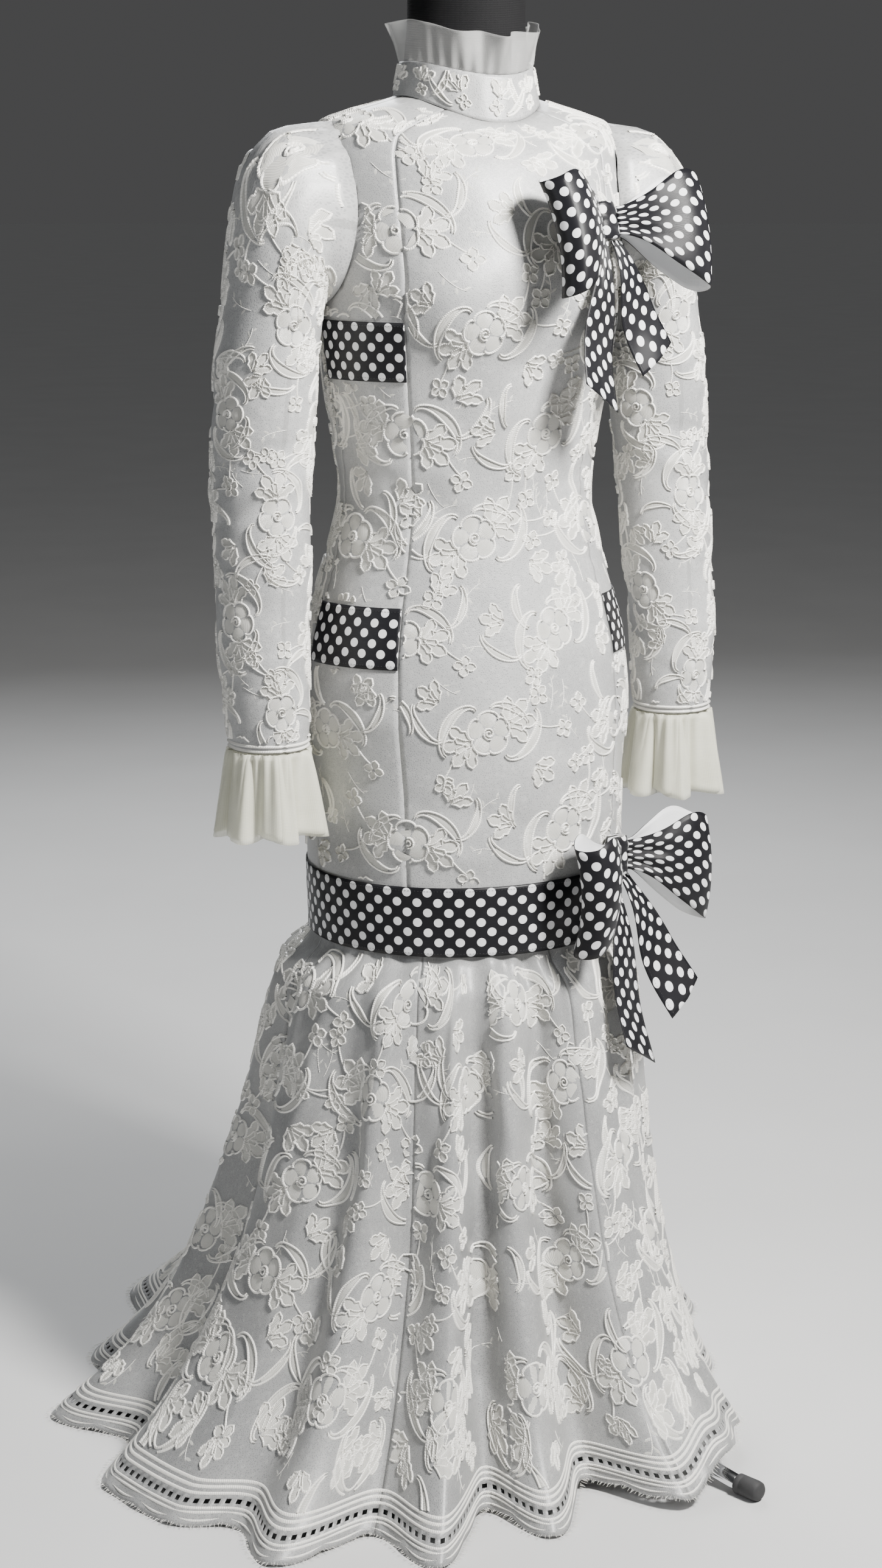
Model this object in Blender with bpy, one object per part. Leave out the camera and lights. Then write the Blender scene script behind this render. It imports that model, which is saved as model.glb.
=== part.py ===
"""A long-sleeved lace gown with a sweep train, worn by a limbless dress form on a tripod stand.

Metres, +Z up. The gown faces -Y and its wearer's left is +X. Angles go round the wearer from the
front: 0 is the centre front, +90 the wearer's left side and -90 the right side, in degrees.
"""

import math

import bmesh
import bpy
from mathutils import Vector
from mathutils.bvhtree import BVHTree

# Cloth and clearances
WALL = 0.0015
FLOUNCE_WALL = 0.0018
FLOUNCE_TUCK = 0.0018
SEAM_GAP = 0.0003
FORM_CLEARANCE = 0.0006
NECK_CLEARANCE = 0.0050
TRIM_GAP = 0.0005
RIBBON_WALL = 0.0012

# Heights of the pieces
SKIRT_HEM = 0.550
KNEE_BAND = (0.538, 0.612)
COLLAR_TOP = (1.432, 1.447)
COLLAR_HALF = (0.0675, 0.0725)
COLLAR_POINTS = 32
FRILL_HEIGHT = 0.041
FORM_BOTTOM = 0.700

# Outer shape of the bodice and skirt, a row for each section, as heights at front, side and back,
# half width, and depths to the front and the back
BODY = [
    # name          front  side   back   width  fore   aft
    ("hem",         0.550, 0.550, 0.550, 0.171, 0.155, 0.158),
    ("band_top",    0.612, 0.612, 0.612, 0.173, 0.153, 0.159),
    ("thigh",       0.700, 0.700, 0.700, 0.176, 0.150, 0.158),
    ("hip",         0.780, 0.780, 0.780, 0.182, 0.146, 0.156),
    ("hip_trim",    0.838, 0.838, 0.838, 0.179, 0.138, 0.150),
    ("hip_trim_2",  0.900, 0.900, 0.900, 0.165, 0.124, 0.136),
    ("high_hip",    0.955, 0.955, 0.955, 0.149, 0.112, 0.119),
    ("waist",       1.010, 1.010, 1.010, 0.140, 0.106, 0.105),
    ("rib",         1.070, 1.070, 1.070, 0.146, 0.112, 0.107),
    ("bust_trim",   1.130, 1.130, 1.130, 0.156, 0.124, 0.114),
    ("bust_trim_2", 1.190, 1.190, 1.190, 0.163, 0.136, 0.120),
    ("bust",        1.230, 1.230, 1.230, 0.165, 0.139, 0.122),
    ("chest",       1.275, 1.275, 1.275, 0.168, 0.131, 0.121),
    ("arm",         1.315, 1.318, 1.318, 0.168, 0.119, 0.118),
    ("arm_top",     1.340, 1.357, 1.355, 0.167, 0.109, 0.112),
    ("shoulder",    1.357, 1.386, 1.382, 0.158, 0.100, 0.104),
    ("shoulder_2",  1.368, 1.396, 1.393, 0.132, 0.092, 0.097),
    ("shoulder_3",  1.377, 1.404, 1.403, 0.103, 0.086, 0.090),
    ("neck",        1.385, 1.412, 1.412, 0.0745, 0.080, 0.080),
]
BUST_CUP = dict(angle=27.0, height=1.205, proud=0.013, spread=19.0, rise=0.048)

# Panels of the princess cut, from one seam angle to the next, with their columns
PANELS = [
    # name                start  end   columns
    ("back_right",        -180, -135, 4),
    ("back_side_right",   -135,  -90, 4),
    ("front_side_right",   -90,  -45, 5),
    ("front_centre",       -45,   45, 8),
    ("front_side_left",     45,   90, 5),
    ("back_side_left",      90,  135, 4),
    ("back_left",          135,  180, 4),
]

ARMHOLE = dict(height=1.2880, fore=-0.002, deep=0.0815, wide=0.056)
# The hole in the panels is a little smaller than the ring where the sleeve starts
ARMHOLE_CUT = 0.0022
ARMHOLE_RING = 0.0018

# Sleeve rings below the armhole: centre, tilt of the ring from upright to level, half sizes
SLEEVE = [
    # x      y       z      tilt  across  along
    (0.1900, -0.001, 1.294, 14,  0.0600, 0.0865),
    (0.2090, -0.002, 1.277, 36,  0.0620, 0.0700),
    (0.2165, -0.003, 1.241, 62,  0.0600, 0.0540),
    (0.2220, -0.003, 1.185, 82,  0.0575, 0.0505),
    (0.2300, -0.003, 1.130, 90,  0.0550, 0.0520),
    (0.2350, -0.005, 1.065, 90,  0.0520, 0.0520),
    (0.2380, -0.010, 1.000, 90,  0.0500, 0.0495),
    (0.2410, -0.016, 0.930, 90,  0.0490, 0.0485),
    (0.2430, -0.022, 0.860, 90,  0.0470, 0.0465),
    (0.2430, -0.027, 0.800, 90,  0.0450, 0.0440),
    (0.2420, -0.030, 0.757, 90,  0.0430, 0.0415),
]
SLEEVE_COLUMNS = 16
SLEEVE_OFF = 0.0030
HEAD_GATHERS = dict(depth=0.0028, rings=3)

CUFF_FRILL = dict(length=0.092, flare=0.016, waves=8, depth=0.0065)
COLLAR_FRILL = dict(waves=13, depth=0.0042, flare=0.006)

# Flounce: how far each level has spread from the knee to the hem
FLOUNCE_FALL = [
    # height  spread
    (0.5497, 0.00),
    (0.5370, 0.00),
    (0.5000, 0.13),
    (0.4350, 0.20),
    (0.3450, 0.28),
    (0.2450, 0.39),
    (0.1550, 0.53),
    (0.0850, 0.69),
]
# The lace border of the hem, heights of its lines above the edge
BORDER = dict(top=0.036, gap_top=0.0235, gap_low=0.0180)
BORDER_SPREAD = dict(top=0.86, gap_top=0.915, gap_low=0.935)
GAP_SHARE = 0.38
FINE = 4

# Flutes of the hem, hand placed: angle, radius on the floor, lift off it, and the gore that starts
HEM = [
    # angle   radius lift   gore
    (-180.0, 0.560, 0.000, "flounce_back_right"),
    (-165.0, 0.500, 0.000, None),
    (-150.0, 0.478, 0.000, None),
    (-137.0, 0.415, 0.000, "flounce_side_right"),
    (-123.0, 0.432, 0.000, None),
    (-113.0, 0.395, 0.000, None),
    (-103.0, 0.468, 0.000, None),
    (-91.0,  0.402, 0.000, "flounce_front_side_right"),
    (-79.0,  0.472, 0.000, None),
    (-67.0,  0.474, 0.000, None),
    (-58.5,  0.440, 0.000, None),
    (-50.0,  0.492, 0.000, None),
    (-40.0,  0.400, 0.000, "flounce_front"),
    (-30.0,  0.460, 0.000, None),
    (-23.0,  0.338, 0.004, None),
    (-14.0,  0.404, 0.000, None),
    (-3.0,   0.312, 0.010, None),
    (8.0,    0.405, 0.012, "flounce_front_side_left"),
    (18.0,   0.388, 0.036, None),
    (30.0,   0.350, 0.030, None),
    (43.0,   0.285, 0.006, None),
    (57.0,   0.272, 0.000, "flounce_side_left"),
    (71.0,   0.288, 0.000, None),
    (86.0,   0.272, 0.000, None),
    (101.0,  0.345, 0.000, None),
    (117.0,  0.345, 0.000, "flounce_back_left"),
    (135.0,  0.485, 0.000, None),
    (150.0,  0.470, 0.000, None),
    (165.0,  0.530, 0.000, None),
    (180.0,  0.560, 0.000, None),
]
FRINGE = dict(top=0.0105, low=0.0068, tip=0.0012, thick=0.0012, off=0.0010)

# Ribbon trims on the side fronts, between two sections of the body
SIDE_BANDS = [
    # name       lower section   upper section
    ("bust_band", "bust_trim", "bust_trim_2"),
    ("hip_band", "hip_trim", "hip_trim_2"),
]

# Bows: the knot's angle and height, how far it stands off, the way that the knot and each loop
# face, loop reach, ribbon half widths, and the tails with the way they lean out
CHEST_BOW = dict(angle=34.0, height=1.285, off=0.0030, faces=24.0, loops=(30.0, 6.0), reach=0.114,
                 half=0.042, knot=0.019, bulge=0.038, droop=0.016, tail=0.155, tail_half=0.025,
                 lean=0.027)
KNEE_BOW = dict(angle=39.0, height=0.624, off=0.0040, faces=30.0, loops=(38.0, 12.0), reach=0.116,
                half=0.050, knot=0.021, bulge=0.040, droop=0.026, tail=0.178, tail_half=0.028,
                lean=0.058)

# The knots of both bows in plan, and the depths at which a loop's two layers meet them
KNOT = dict(wide=0.0172, deep=0.0112, middle=0.0085, layers=(0.0055, 0.0120))
KNOT_RINGS = [
    # height  swell, as shares of the half height and of the widest
    (-1.0, 0.82),
    (-0.55, 1.0),
    (0.0, 0.94),
    (0.55, 1.0),
    (1.0, 0.82),
]
KNOT_SIDES = 10

# Tails of both bows: places of their middles at the knot and the end, half width at the knot,
# cut of the end, height of the soft fold, and the wearer's left tail's length beside the right's
TAIL = dict(near=0.011, far=0.047, half=0.0085, slant=0.016, fold=0.0022, off=0.006, wave=0.0035,
            left_share=0.78)

# Neck block of the dress form above the cloth: heights in front and behind, half sizes
NECK_RINGS = [
    # front  back   half    depth
    (1.432, 1.447, 0.0635, 0.0685),
    (1.478, 1.484, 0.0600, 0.0650),
    (1.530, 1.530, 0.0600, 0.0640),
]

# Stand
COLUMN_RADIUS = 0.0160
HUB = dict(radius=0.034, low=0.040, top=0.082)
LEG = dict(radius=0.0085, end=0.405, high=0.058)
FOOT = dict(radius=0.0110, length=0.030)
LEG_ANGLES = (17.6, 137.6, -102.4)
TUBE_SIDES = 12

FINISHES = {
    # name            colour                     roughness metallic
    "lace": ((0.86, 0.87, 0.88, 1.0), 0.42, 0.0),
    "organza": ((0.90, 0.89, 0.84, 1.0), 0.50, 0.0),
    "ribbon": ((0.03, 0.03, 0.035, 1.0), 0.35, 0.0),
    "jersey": ((0.012, 0.012, 0.014, 1.0), 0.80, 0.0),
    "chrome": ((0.80, 0.80, 0.82, 1.0), 0.12, 1.0),
    "rubber": ((0.02, 0.02, 0.02, 1.0), 0.70, 0.0),
}


def clear_scene():
    for thing in list(bpy.data.objects):
        bpy.data.objects.remove(thing, do_unlink=True)


def finish(name):
    """One Principled material for each finish."""
    material = bpy.data.materials.get(name)
    if material is None:
        colour, roughness, metallic = FINISHES[name]
        material = bpy.data.materials.new(name)
        material.use_nodes = True
        shader = material.node_tree.nodes["Principled BSDF"]
        shader.inputs["Base Color"].default_value = colour
        shader.inputs["Roughness"].default_value = roughness
        shader.inputs["Metallic"].default_value = metallic
    return material


def add_object(name, mesh_builder, look, parent):
    mesh = bpy.data.meshes.new(name)
    mesh_builder.normal_update()
    mesh_builder.to_mesh(mesh)
    mesh_builder.free()
    mesh.shade_smooth()
    mesh.set_sharp_from_angle(angle=math.radians(40))
    mesh.materials.append(finish(look))
    thing = bpy.data.objects.new(name, mesh)
    thing.parent = parent
    bpy.context.scene.collection.objects.link(thing)
    return thing


def mix(a, b, share):
    return a + (b - a) * share


def ease(share):
    """Cosine step from 0 to 1."""
    return 0.5 - 0.5 * math.cos(math.pi * min(max(share, 0.0), 1.0))


def direction(angle):
    """Unit vector away from the axis at an angle from the front."""
    turn = math.radians(angle)
    return Vector((math.sin(turn), -math.cos(turn), 0.0))


def section_row(name):
    return [row[0] for row in BODY].index(name)


def body(angle, row):
    """Point of the cloth's outer face at an angle, on a section or between two."""
    low = min(max(int(math.floor(row)), 0), len(BODY) - 2)
    share = row - low
    _, *one = BODY[low]
    _, *two = BODY[low + 1]
    front, side, back, width, fore, aft = (mix(p, q, share) for p, q in zip(one, two))
    turn = math.radians(angle)
    across, ahead = math.sin(turn), math.cos(turn)
    depth = fore if ahead > 0 else aft
    end = front if ahead > 0 else back
    height = side * across ** 2 + end * ahead ** 2
    off_angle = (abs(angle) - BUST_CUP["angle"]) / BUST_CUP["spread"]
    off_height = (height - BUST_CUP["height"]) / BUST_CUP["rise"]
    cup = BUST_CUP["proud"] * math.exp(-off_angle ** 2 - off_height ** 2)
    return Vector((width * across, -depth * ahead, height)) + direction(angle) * cup


def body_normal(angle, row):
    step = 0.4
    around = body(angle + step, row) - body(angle - step, row)
    up = body(angle, min(row + 0.3, len(BODY) - 1)) - body(angle, max(row - 0.3, 0))
    return around.cross(up).normalized()


def body_moved(angle, row, distance):
    return body(angle, row) + body_normal(angle, row) * distance


def strip_faces(mesh, upper, lower, flip):
    """Faces between two rows of vertices, where the lower row may be finer."""
    ratio = (len(lower) - 1) // (len(upper) - 1)
    faces = []
    for j in range(len(upper) - 1):
        if ratio == 1:
            faces.append((upper[j], upper[j + 1], lower[j + 1]))
            faces.append((upper[j], lower[j + 1], lower[j]))
            continue
        middle = ratio * j + ratio // 2
        faces.append((upper[j], upper[j + 1], lower[middle]))
        for i in range(ratio * j, ratio * (j + 1)):
            corner = upper[j] if i < middle else upper[j + 1]
            faces.append((corner, lower[i + 1], lower[i]))
    for face in faces:
        mesh.faces.new(face[::-1] if flip else face)


def wall(name, outer, inner, look, parent, closed=False, holes=()):
    """Thin wall between two grids of points, whose rows run from the top down.

    Columns go from the wearer's right to left, seen from outside. holes lists (row, column) cells
    that are cut through.
    """
    mesh = bmesh.new()
    out = [[mesh.verts.new(point) for point in row] for row in outer]
    into = [[mesh.verts.new(point) for point in row] for row in inner]
    if closed:
        out = [row + [row[0]] for row in out]
        into = [row + [row[0]] for row in into]
    cut = set(holes)
    for i in range(len(out) - 1):
        if any(row == i for row, _ in cut):
            for j in range(len(out[i]) - 1):
                if (i, j) in cut:
                    ring_out = (out[i][j], out[i][j + 1], out[i + 1][j + 1], out[i + 1][j])
                    ring_in = (into[i][j], into[i][j + 1], into[i + 1][j + 1], into[i + 1][j])
                    for k in range(4):
                        n = (k + 1) % 4
                        mesh.faces.new((ring_out[k], ring_out[n], ring_in[n], ring_in[k])[::-1])
                else:
                    strip_faces(mesh, out[i][j:j + 2], out[i + 1][j:j + 2], True)
                    strip_faces(mesh, into[i][j:j + 2], into[i + 1][j:j + 2], False)
        else:
            strip_faces(mesh, out[i], out[i + 1], True)
            strip_faces(mesh, into[i], into[i + 1], False)
    for edge_out, edge_in, flip in ((out[0], into[0], False), (out[-1], into[-1], True)):
        for j in range(len(edge_out) - 1):
            face = (edge_out[j], edge_out[j + 1], edge_in[j + 1], edge_in[j])
            mesh.faces.new(face[::-1] if flip else face)
    if not closed:
        for column, flip in ((0, True), (-1, False)):
            for i in range(len(out) - 1):
                face = (out[i][column], out[i + 1][column], into[i + 1][column], into[i][column])
                mesh.faces.new(face[::-1] if flip else face)
    bmesh.ops.recalc_face_normals(mesh, faces=mesh.faces)
    return add_object(name, mesh, look, parent)


def lathe(name, profile, look, parent, first_turn=0.0):
    """Closed turned solid from (radius, height) pairs, bottom to top, on an upright axis."""
    mesh = bmesh.new()
    rings = []
    for radius, height in profile:
        ring = []
        for k in range(TUBE_SIDES):
            turn = math.tau * k / TUBE_SIDES + first_turn
            ring.append(mesh.verts.new((radius * math.cos(turn), radius * math.sin(turn), height)))
        rings.append(ring)
    close_rings(mesh, rings)
    return add_object(name, mesh, look, parent)


def close_rings(mesh, rings):
    """Side faces and both end caps of a closed solid with equal rings."""
    for low, high in zip(rings, rings[1:]):
        for k in range(len(low)):
            n = (k + 1) % len(low)
            mesh.faces.new((high[k], low[n], high[n]))
            mesh.faces.new((high[k], low[k], low[n]))
    mesh.faces.new(rings[0][::-1])
    mesh.faces.new(rings[-1])
    bmesh.ops.recalc_face_normals(mesh, faces=mesh.faces)


def panel_angles(start, end, columns):
    return [mix(start, end, j / columns) for j in range(columns + 1)]


def seam_inset(point, angle, side, gap=SEAM_GAP):
    """Moves a panel's edge point half a seam gap into the panel, round the body."""
    turn = math.radians(angle)
    around = Vector((math.cos(turn), math.sin(turn), 0.0))
    return point + around * (side * gap / 2)


def panel_grid(start, end, columns, rows, distance):
    """Grid of points on the body moved out by a distance, from the top row down."""
    grid = []
    for row in reversed(rows):
        line = [body_moved(angle, row, distance) for angle in panel_angles(start, end, columns)]
        line[0] = seam_inset(line[0], start, 1)
        line[-1] = seam_inset(line[-1], end, -1)
        grid.append(line)
    return grid


def armhole_cutter(side, parent):
    """Oval bar along X that cuts one armhole."""
    mesh = bmesh.new()
    rings = []
    for x in (0.085, 0.26):
        ring = []
        for k in range(SLEEVE_COLUMNS):
            turn = math.tau * k / SLEEVE_COLUMNS
            y = ARMHOLE["fore"] + (ARMHOLE["wide"] - ARMHOLE_CUT) * math.cos(turn)
            z = ARMHOLE["height"] + (ARMHOLE["deep"] - ARMHOLE_CUT) * math.sin(turn)
            ring.append(mesh.verts.new((side * x, y, z)))
        rings.append(ring)
    close_rings(mesh, rings)
    cutter = add_object("armhole_cutter_%+d" % side, mesh, "lace", parent)
    cutter.hide_render = True
    cutter.display_type = "WIRE"
    return cutter


def make_panels(parent):
    rows = list(range(len(BODY)))
    cutters = {side: armhole_cutter(side, parent) for side in (-1, 1)}
    for name, start, end, columns in PANELS:
        outer = panel_grid(start, end, columns, rows, 0.0)
        inner = panel_grid(start, end, columns, rows, -WALL)
        panel = wall(name, outer, inner, "lace", parent)
        if "side" in name:
            cut = panel.modifiers.new("armhole", "BOOLEAN")
            cut.operation = "DIFFERENCE"
            cut.solver = "EXACT"
            cut.object = cutters[-1 if name.endswith("right") else 1]


def torso_surface():
    """The faceted outer face of the whole body, for what is set on it."""
    points = []
    faces = []
    angles = []
    for _, start, end, columns in PANELS:
        angles += panel_angles(start, end, columns)[:-1]
    angles.append(180)
    rows = range(len(BODY))
    for row in rows:
        points += [body(angle, row) for angle in angles]
    count = len(angles)
    for i in range(len(BODY) - 1):
        for j in range(count - 1):
            a = i * count + j
            faces.append((a, a + 1, a + count + 1, a + count))
    return BVHTree.FromPolygons(points, faces)


def sleeve_rings(side, surface, inset):
    """Rings of the sleeve from the armhole to the wrist, each from its front round over the top."""
    rings = []
    first = []
    for k in range(SLEEVE_COLUMNS):
        turn = math.tau * k / SLEEVE_COLUMNS
        y = ARMHOLE["fore"] - (ARMHOLE["wide"] + ARMHOLE_RING - inset) * math.cos(turn)
        z = ARMHOLE["height"] + (ARMHOLE["deep"] + ARMHOLE_RING - inset) * math.sin(turn)
        hit, _, _, _ = surface.ray_cast(Vector((side * 0.5, y, z)), Vector((-side, 0, 0)))
        first.append(Vector((hit.x + side * SLEEVE_OFF, y, z)))
    rings.append(first)
    for index, (x, y, z, tilt, across, along) in enumerate(SLEEVE):
        lean = math.radians(tilt)
        up = Vector((math.sin(lean), 0.0, math.cos(lean)))
        ring = []
        for k in range(SLEEVE_COLUMNS):
            turn = math.tau * k / SLEEVE_COLUMNS
            radius = 0.0
            if index < HEAD_GATHERS["rings"] and math.sin(turn) > 0:
                radius = HEAD_GATHERS["depth"] * (k % 2) * math.sin(turn)
            point = Vector((x, y, z))
            point += Vector((0.0, -1.0, 0.0)) * (across + radius - inset) * math.cos(turn)
            point += up * (along + radius - inset) * math.sin(turn)
            ring.append(Vector((side * point.x, point.y, point.z)))
        rings.append(ring)
    return rings


def make_sleeves(parent):
    surface = torso_surface()
    for side, word in ((-1, "right"), (1, "left")):
        outer = sleeve_rings(side, surface, 0.0)
        inner = sleeve_rings(side, surface, WALL)
        wall("sleeve_" + word, outer, inner, "lace", parent, closed=True)


def frill_rings(centre, radii, drops, flare, waves, depth, points, wall_thickness):
    """Outer and inner rings of a gathered frill below or above a round edge."""
    outer, inner = [], []
    for drop, share in drops:
        ring_out, ring_in = [], []
        for k in range(points):
            turn = math.tau * k / points
            wave = depth * share * math.cos(waves * turn + 0.6 * math.sin(2 * turn))
            for ring, less in ((ring_out, 0.0), (ring_in, wall_thickness)):
                across = radii[0] + flare * share + wave - less
                along = radii[1] + flare * share + wave - less
                x = centre[0] + across * math.cos(turn)
                y = centre[1] + along * math.sin(turn)
                ring.append(Vector((x, y, centre[2] + drop)))
        outer.append(ring_out)
        inner.append(ring_in)
    return outer, inner


def make_cuff_frills(parent):
    x, y, z, _, across, along = SLEEVE[-1]
    length = CUFF_FRILL["length"]
    points = CUFF_FRILL["waves"] * 4
    drops = [(-SEAM_GAP, 0.0), (-length * 0.35, 0.45), (-length, 1.0)]
    for side, word in ((-1, "right"), (1, "left")):
        outer, inner = frill_rings(
            (side * x, y, z), (along, across), drops, CUFF_FRILL["flare"], CUFF_FRILL["waves"],
            CUFF_FRILL["depth"], points, WALL)
        wall("cuff_frill_" + word, outer, inner, "organza", parent, closed=True)


def collar_ring(share, less):
    """Ring of the stand collar, from its base on the neck seam to its top edge."""
    _, front, side, back, width, fore, aft = BODY[-1]
    ring = []
    for k in range(COLLAR_POINTS):
        angle = -180 + 360 * k / COLLAR_POINTS
        turn = math.radians(angle)
        across, ahead = math.sin(turn), math.cos(turn)
        end = front if ahead > 0 else back
        base = side * across ** 2 + end * ahead ** 2 + SEAM_GAP
        top_end = COLLAR_TOP[0] if ahead > 0 else COLLAR_TOP[1]
        top = COLLAR_TOP[1] * across ** 2 + top_end * ahead ** 2
        half = mix(width, COLLAR_HALF[0], share) - less
        depth = mix(fore if ahead > 0 else aft, COLLAR_HALF[1], share) - less
        ring.append(Vector((half * across, -depth * ahead, mix(base, top, share))))
    return ring


def make_collar(parent):
    shares = (1.0, 0.5, 0.0)
    outer = [collar_ring(share, 0.0) for share in shares]
    inner = [collar_ring(share, WALL) for share in shares]
    wall("collar_band", outer, inner, "lace", parent, closed=True)


def make_collar_frill(parent):
    """Gathered organza frill that stands on the collar and flares a little."""
    points = COLLAR_FRILL["waves"] * 4
    outer, inner = [], []
    for share in (1.0, 0.5, 0.0):
        ring_out, ring_in = [], []
        for k in range(points):
            angle = -180 + 360 * k / points
            turn = math.radians(angle)
            across, ahead = math.sin(turn), math.cos(turn)
            top_end = COLLAR_TOP[0] if ahead > 0 else COLLAR_TOP[1]
            base = COLLAR_TOP[1] * across ** 2 + top_end * ahead ** 2 + SEAM_GAP
            wave = COLLAR_FRILL["depth"] * share * math.cos(COLLAR_FRILL["waves"] * turn)
            for ring, less in ((ring_out, 0.0), (ring_in, WALL)):
                half = COLLAR_HALF[0] + COLLAR_FRILL["flare"] * share + wave - less
                depth = COLLAR_HALF[1] + COLLAR_FRILL["flare"] * share + wave - less
                height = base + FRILL_HEIGHT * share
                ring.append(Vector((half * across, -depth * ahead, height)))
        outer.append(ring_out)
        inner.append(ring_in)
    wall("collar_frill", outer, inner, "organza", parent, closed=True)


def hem_columns(first, last):
    """Angles of the coarse columns of a gore, two for each stretch between flutes."""
    angles = []
    for row in range(first, last):
        start, end = HEM[row][0], HEM[row + 1][0]
        angles += [start, (start + end) / 2]
    return angles + [HEM[last][0]]


def hem_at(angle):
    """Radius and lift of the hem at an angle."""
    for one, two in zip(HEM, HEM[1:]):
        if one[0] <= angle <= two[0]:
            share = ease((angle - one[0]) / (two[0] - one[0]))
            return mix(one[1], two[1], share), mix(one[2], two[2], share)
    return HEM[-1][1], HEM[-1][2]


def flounce(angle, height, spread):
    """Point of the flounce's outer face, for a level's height and spread."""
    radius, lift = hem_at(angle)
    knee = body(angle, 0)
    start = math.hypot(knee.x, knee.y) - FLOUNCE_TUCK
    away = direction(math.degrees(math.atan2(knee.x, -knee.y)))
    out = mix(away, direction(angle), min(1.0, spread * 3)).normalized()
    reach = mix(start, radius, spread)
    level = lift + height * (1.0 - lift / FLOUNCE_FALL[0][0])
    return Vector((out.x * reach, out.y * reach, level))


def flounce_levels():
    """Height and spread of every level, top down, coarse ones first and the border's after."""
    coarse = list(FLOUNCE_FALL)
    coarse.append((BORDER["top"], BORDER_SPREAD["top"]))
    fine = [
        (BORDER["gap_top"], BORDER_SPREAD["gap_top"]),
        (BORDER["gap_low"], BORDER_SPREAD["gap_low"]),
        (0.0, 1.0),
    ]
    return coarse, fine


def fine_angles(angles):
    """Finer columns for the border, alternately a gap and the bar beside it."""
    result = []
    for start, end in zip(angles, angles[1:]):
        for k in range(FINE):
            shift = 2.0 * GAP_SHARE - 1.0 if k % 2 else 0.0
            result.append(mix(start, end, (k + shift) / FINE))
    return result + [angles[-1]]


def flounce_line(angles, height, spread, thickness):
    """One level of a gore; the inner face goes straight in, so that the edge stands flat."""
    line = []
    for angle in angles:
        point = flounce(angle, height, spread)
        before = flounce(max(angle - 0.5, -180), height, spread)
        after = flounce(min(angle + 0.5, 180), height, spread)
        around = (after - before).normalized()
        inward = Vector((-around.y, around.x, 0.0))
        line.append(point + inward * thickness)
    line[0] = seam_inset(line[0], angles[0], 1)
    line[-1] = seam_inset(line[-1], angles[-1], -1)
    return line


def make_flounce(parent):
    coarse, fine = flounce_levels()
    starts = [k for k, row in enumerate(HEM) if row[3]] + [len(HEM) - 1]
    for first, last in zip(starts, starts[1:]):
        angles = hem_columns(first, last)
        finer = fine_angles(angles)
        outer, inner = [], []
        for grid, thickness in ((outer, 0.0), (inner, FLOUNCE_WALL)):
            for height, spread in coarse:
                grid.append(flounce_line(angles, height, spread, thickness))
            for height, spread in fine:
                grid.append(flounce_line(finer, height, spread, thickness))
        row = len(coarse)
        holes = [(row, column) for column in range(2, len(finer) - 1, 2)]
        gore = HEM[first][3]
        wall(gore, outer, inner, "lace", parent, holes=holes)
        make_fringe(gore.replace("flounce", "fringe"), finer, parent)


def border_spread(height):
    """Spread of the border at a height above the edge."""
    return mix(1.0, BORDER_SPREAD["gap_low"], height / BORDER["gap_low"])


def make_fringe(name, angles, parent):
    """Narrow strip outside the hem with a pointed lock below each bar."""
    mesh = bmesh.new()
    levels = (FRINGE["top"], FRINGE["low"])
    grids = []
    for away in (FRINGE["off"] + FRINGE["thick"], FRINGE["off"]):
        grid = []
        for height in levels:
            line = flounce_line(angles, height, border_spread(height), -away)
            grid.append([mesh.verts.new(point) for point in line])
        grids.append(grid)
    out, into = grids
    for j in range(len(angles) - 1):
        mesh.faces.new((out[0][j], out[0][j + 1], out[1][j + 1], out[1][j]))
        mesh.faces.new((into[0][j], into[1][j], into[1][j + 1], into[0][j + 1]))
        mesh.faces.new((out[0][j], into[0][j], into[0][j + 1], out[0][j + 1]))
        root = (out[1][j], out[1][j + 1], into[1][j + 1], into[1][j])
        if j % 2 == 0:
            mesh.faces.new(root)
            continue
        middle = mix(angles[j], angles[j + 1], 0.5)
        away = FRINGE["off"] + FRINGE["thick"]
        tip = flounce_line([middle] * 3, FRINGE["tip"], border_spread(FRINGE["tip"]), -away)[1]
        end = mesh.verts.new(tip)
        for k in range(4):
            mesh.faces.new((root[k], root[(k + 1) % 4], end))
    for column in (0, -1):
        mesh.faces.new((out[0][column], out[1][column], into[1][column], into[0][column]))
    bmesh.ops.recalc_face_normals(mesh, faces=mesh.faces)
    add_object(name, mesh, "lace", parent)


def make_bands(parent):
    """Level ribbon bands on the side fronts, and the knee band all round."""
    near, far = TRIM_GAP, TRIM_GAP + RIBBON_WALL
    for title, low, high in SIDE_BANDS:
        rows = [section_row(low), section_row(high)]
        for word, start, end in (("right", -90, -45), ("left", 45, 90)):
            outer = panel_grid(start, end, 5, rows, far)
            inner = panel_grid(start, end, 5, rows, near)
            wall("%s_%s" % (title, word), outer, inner, "ribbon", parent)
    angles = []
    for _, start, end, columns in PANELS:
        angles += panel_angles(start, end, columns)[:-1]
    grids = []
    for distance in (far, near):
        grid = []
        for height in reversed(KNEE_BAND):
            row = min(1.0, max(0.0, (height - SKIRT_HEM) / (BODY[1][1] - SKIRT_HEM)))
            line = []
            for angle in angles:
                point = body_moved(angle, row, distance)
                line.append(Vector((point.x, point.y, height)))
            grid.append(line)
        grids.append(grid)
    wall("knee_band", grids[0], grids[1], "ribbon", parent, closed=True)


def section_at(height):
    """Place between two sections whose side stands at a height."""
    for row in range(len(BODY) - 1):
        low, high = BODY[row][2], BODY[row + 1][2]
        if low <= height <= high:
            return row + (height - low) / (high - low)
    return len(BODY) - 1


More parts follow.
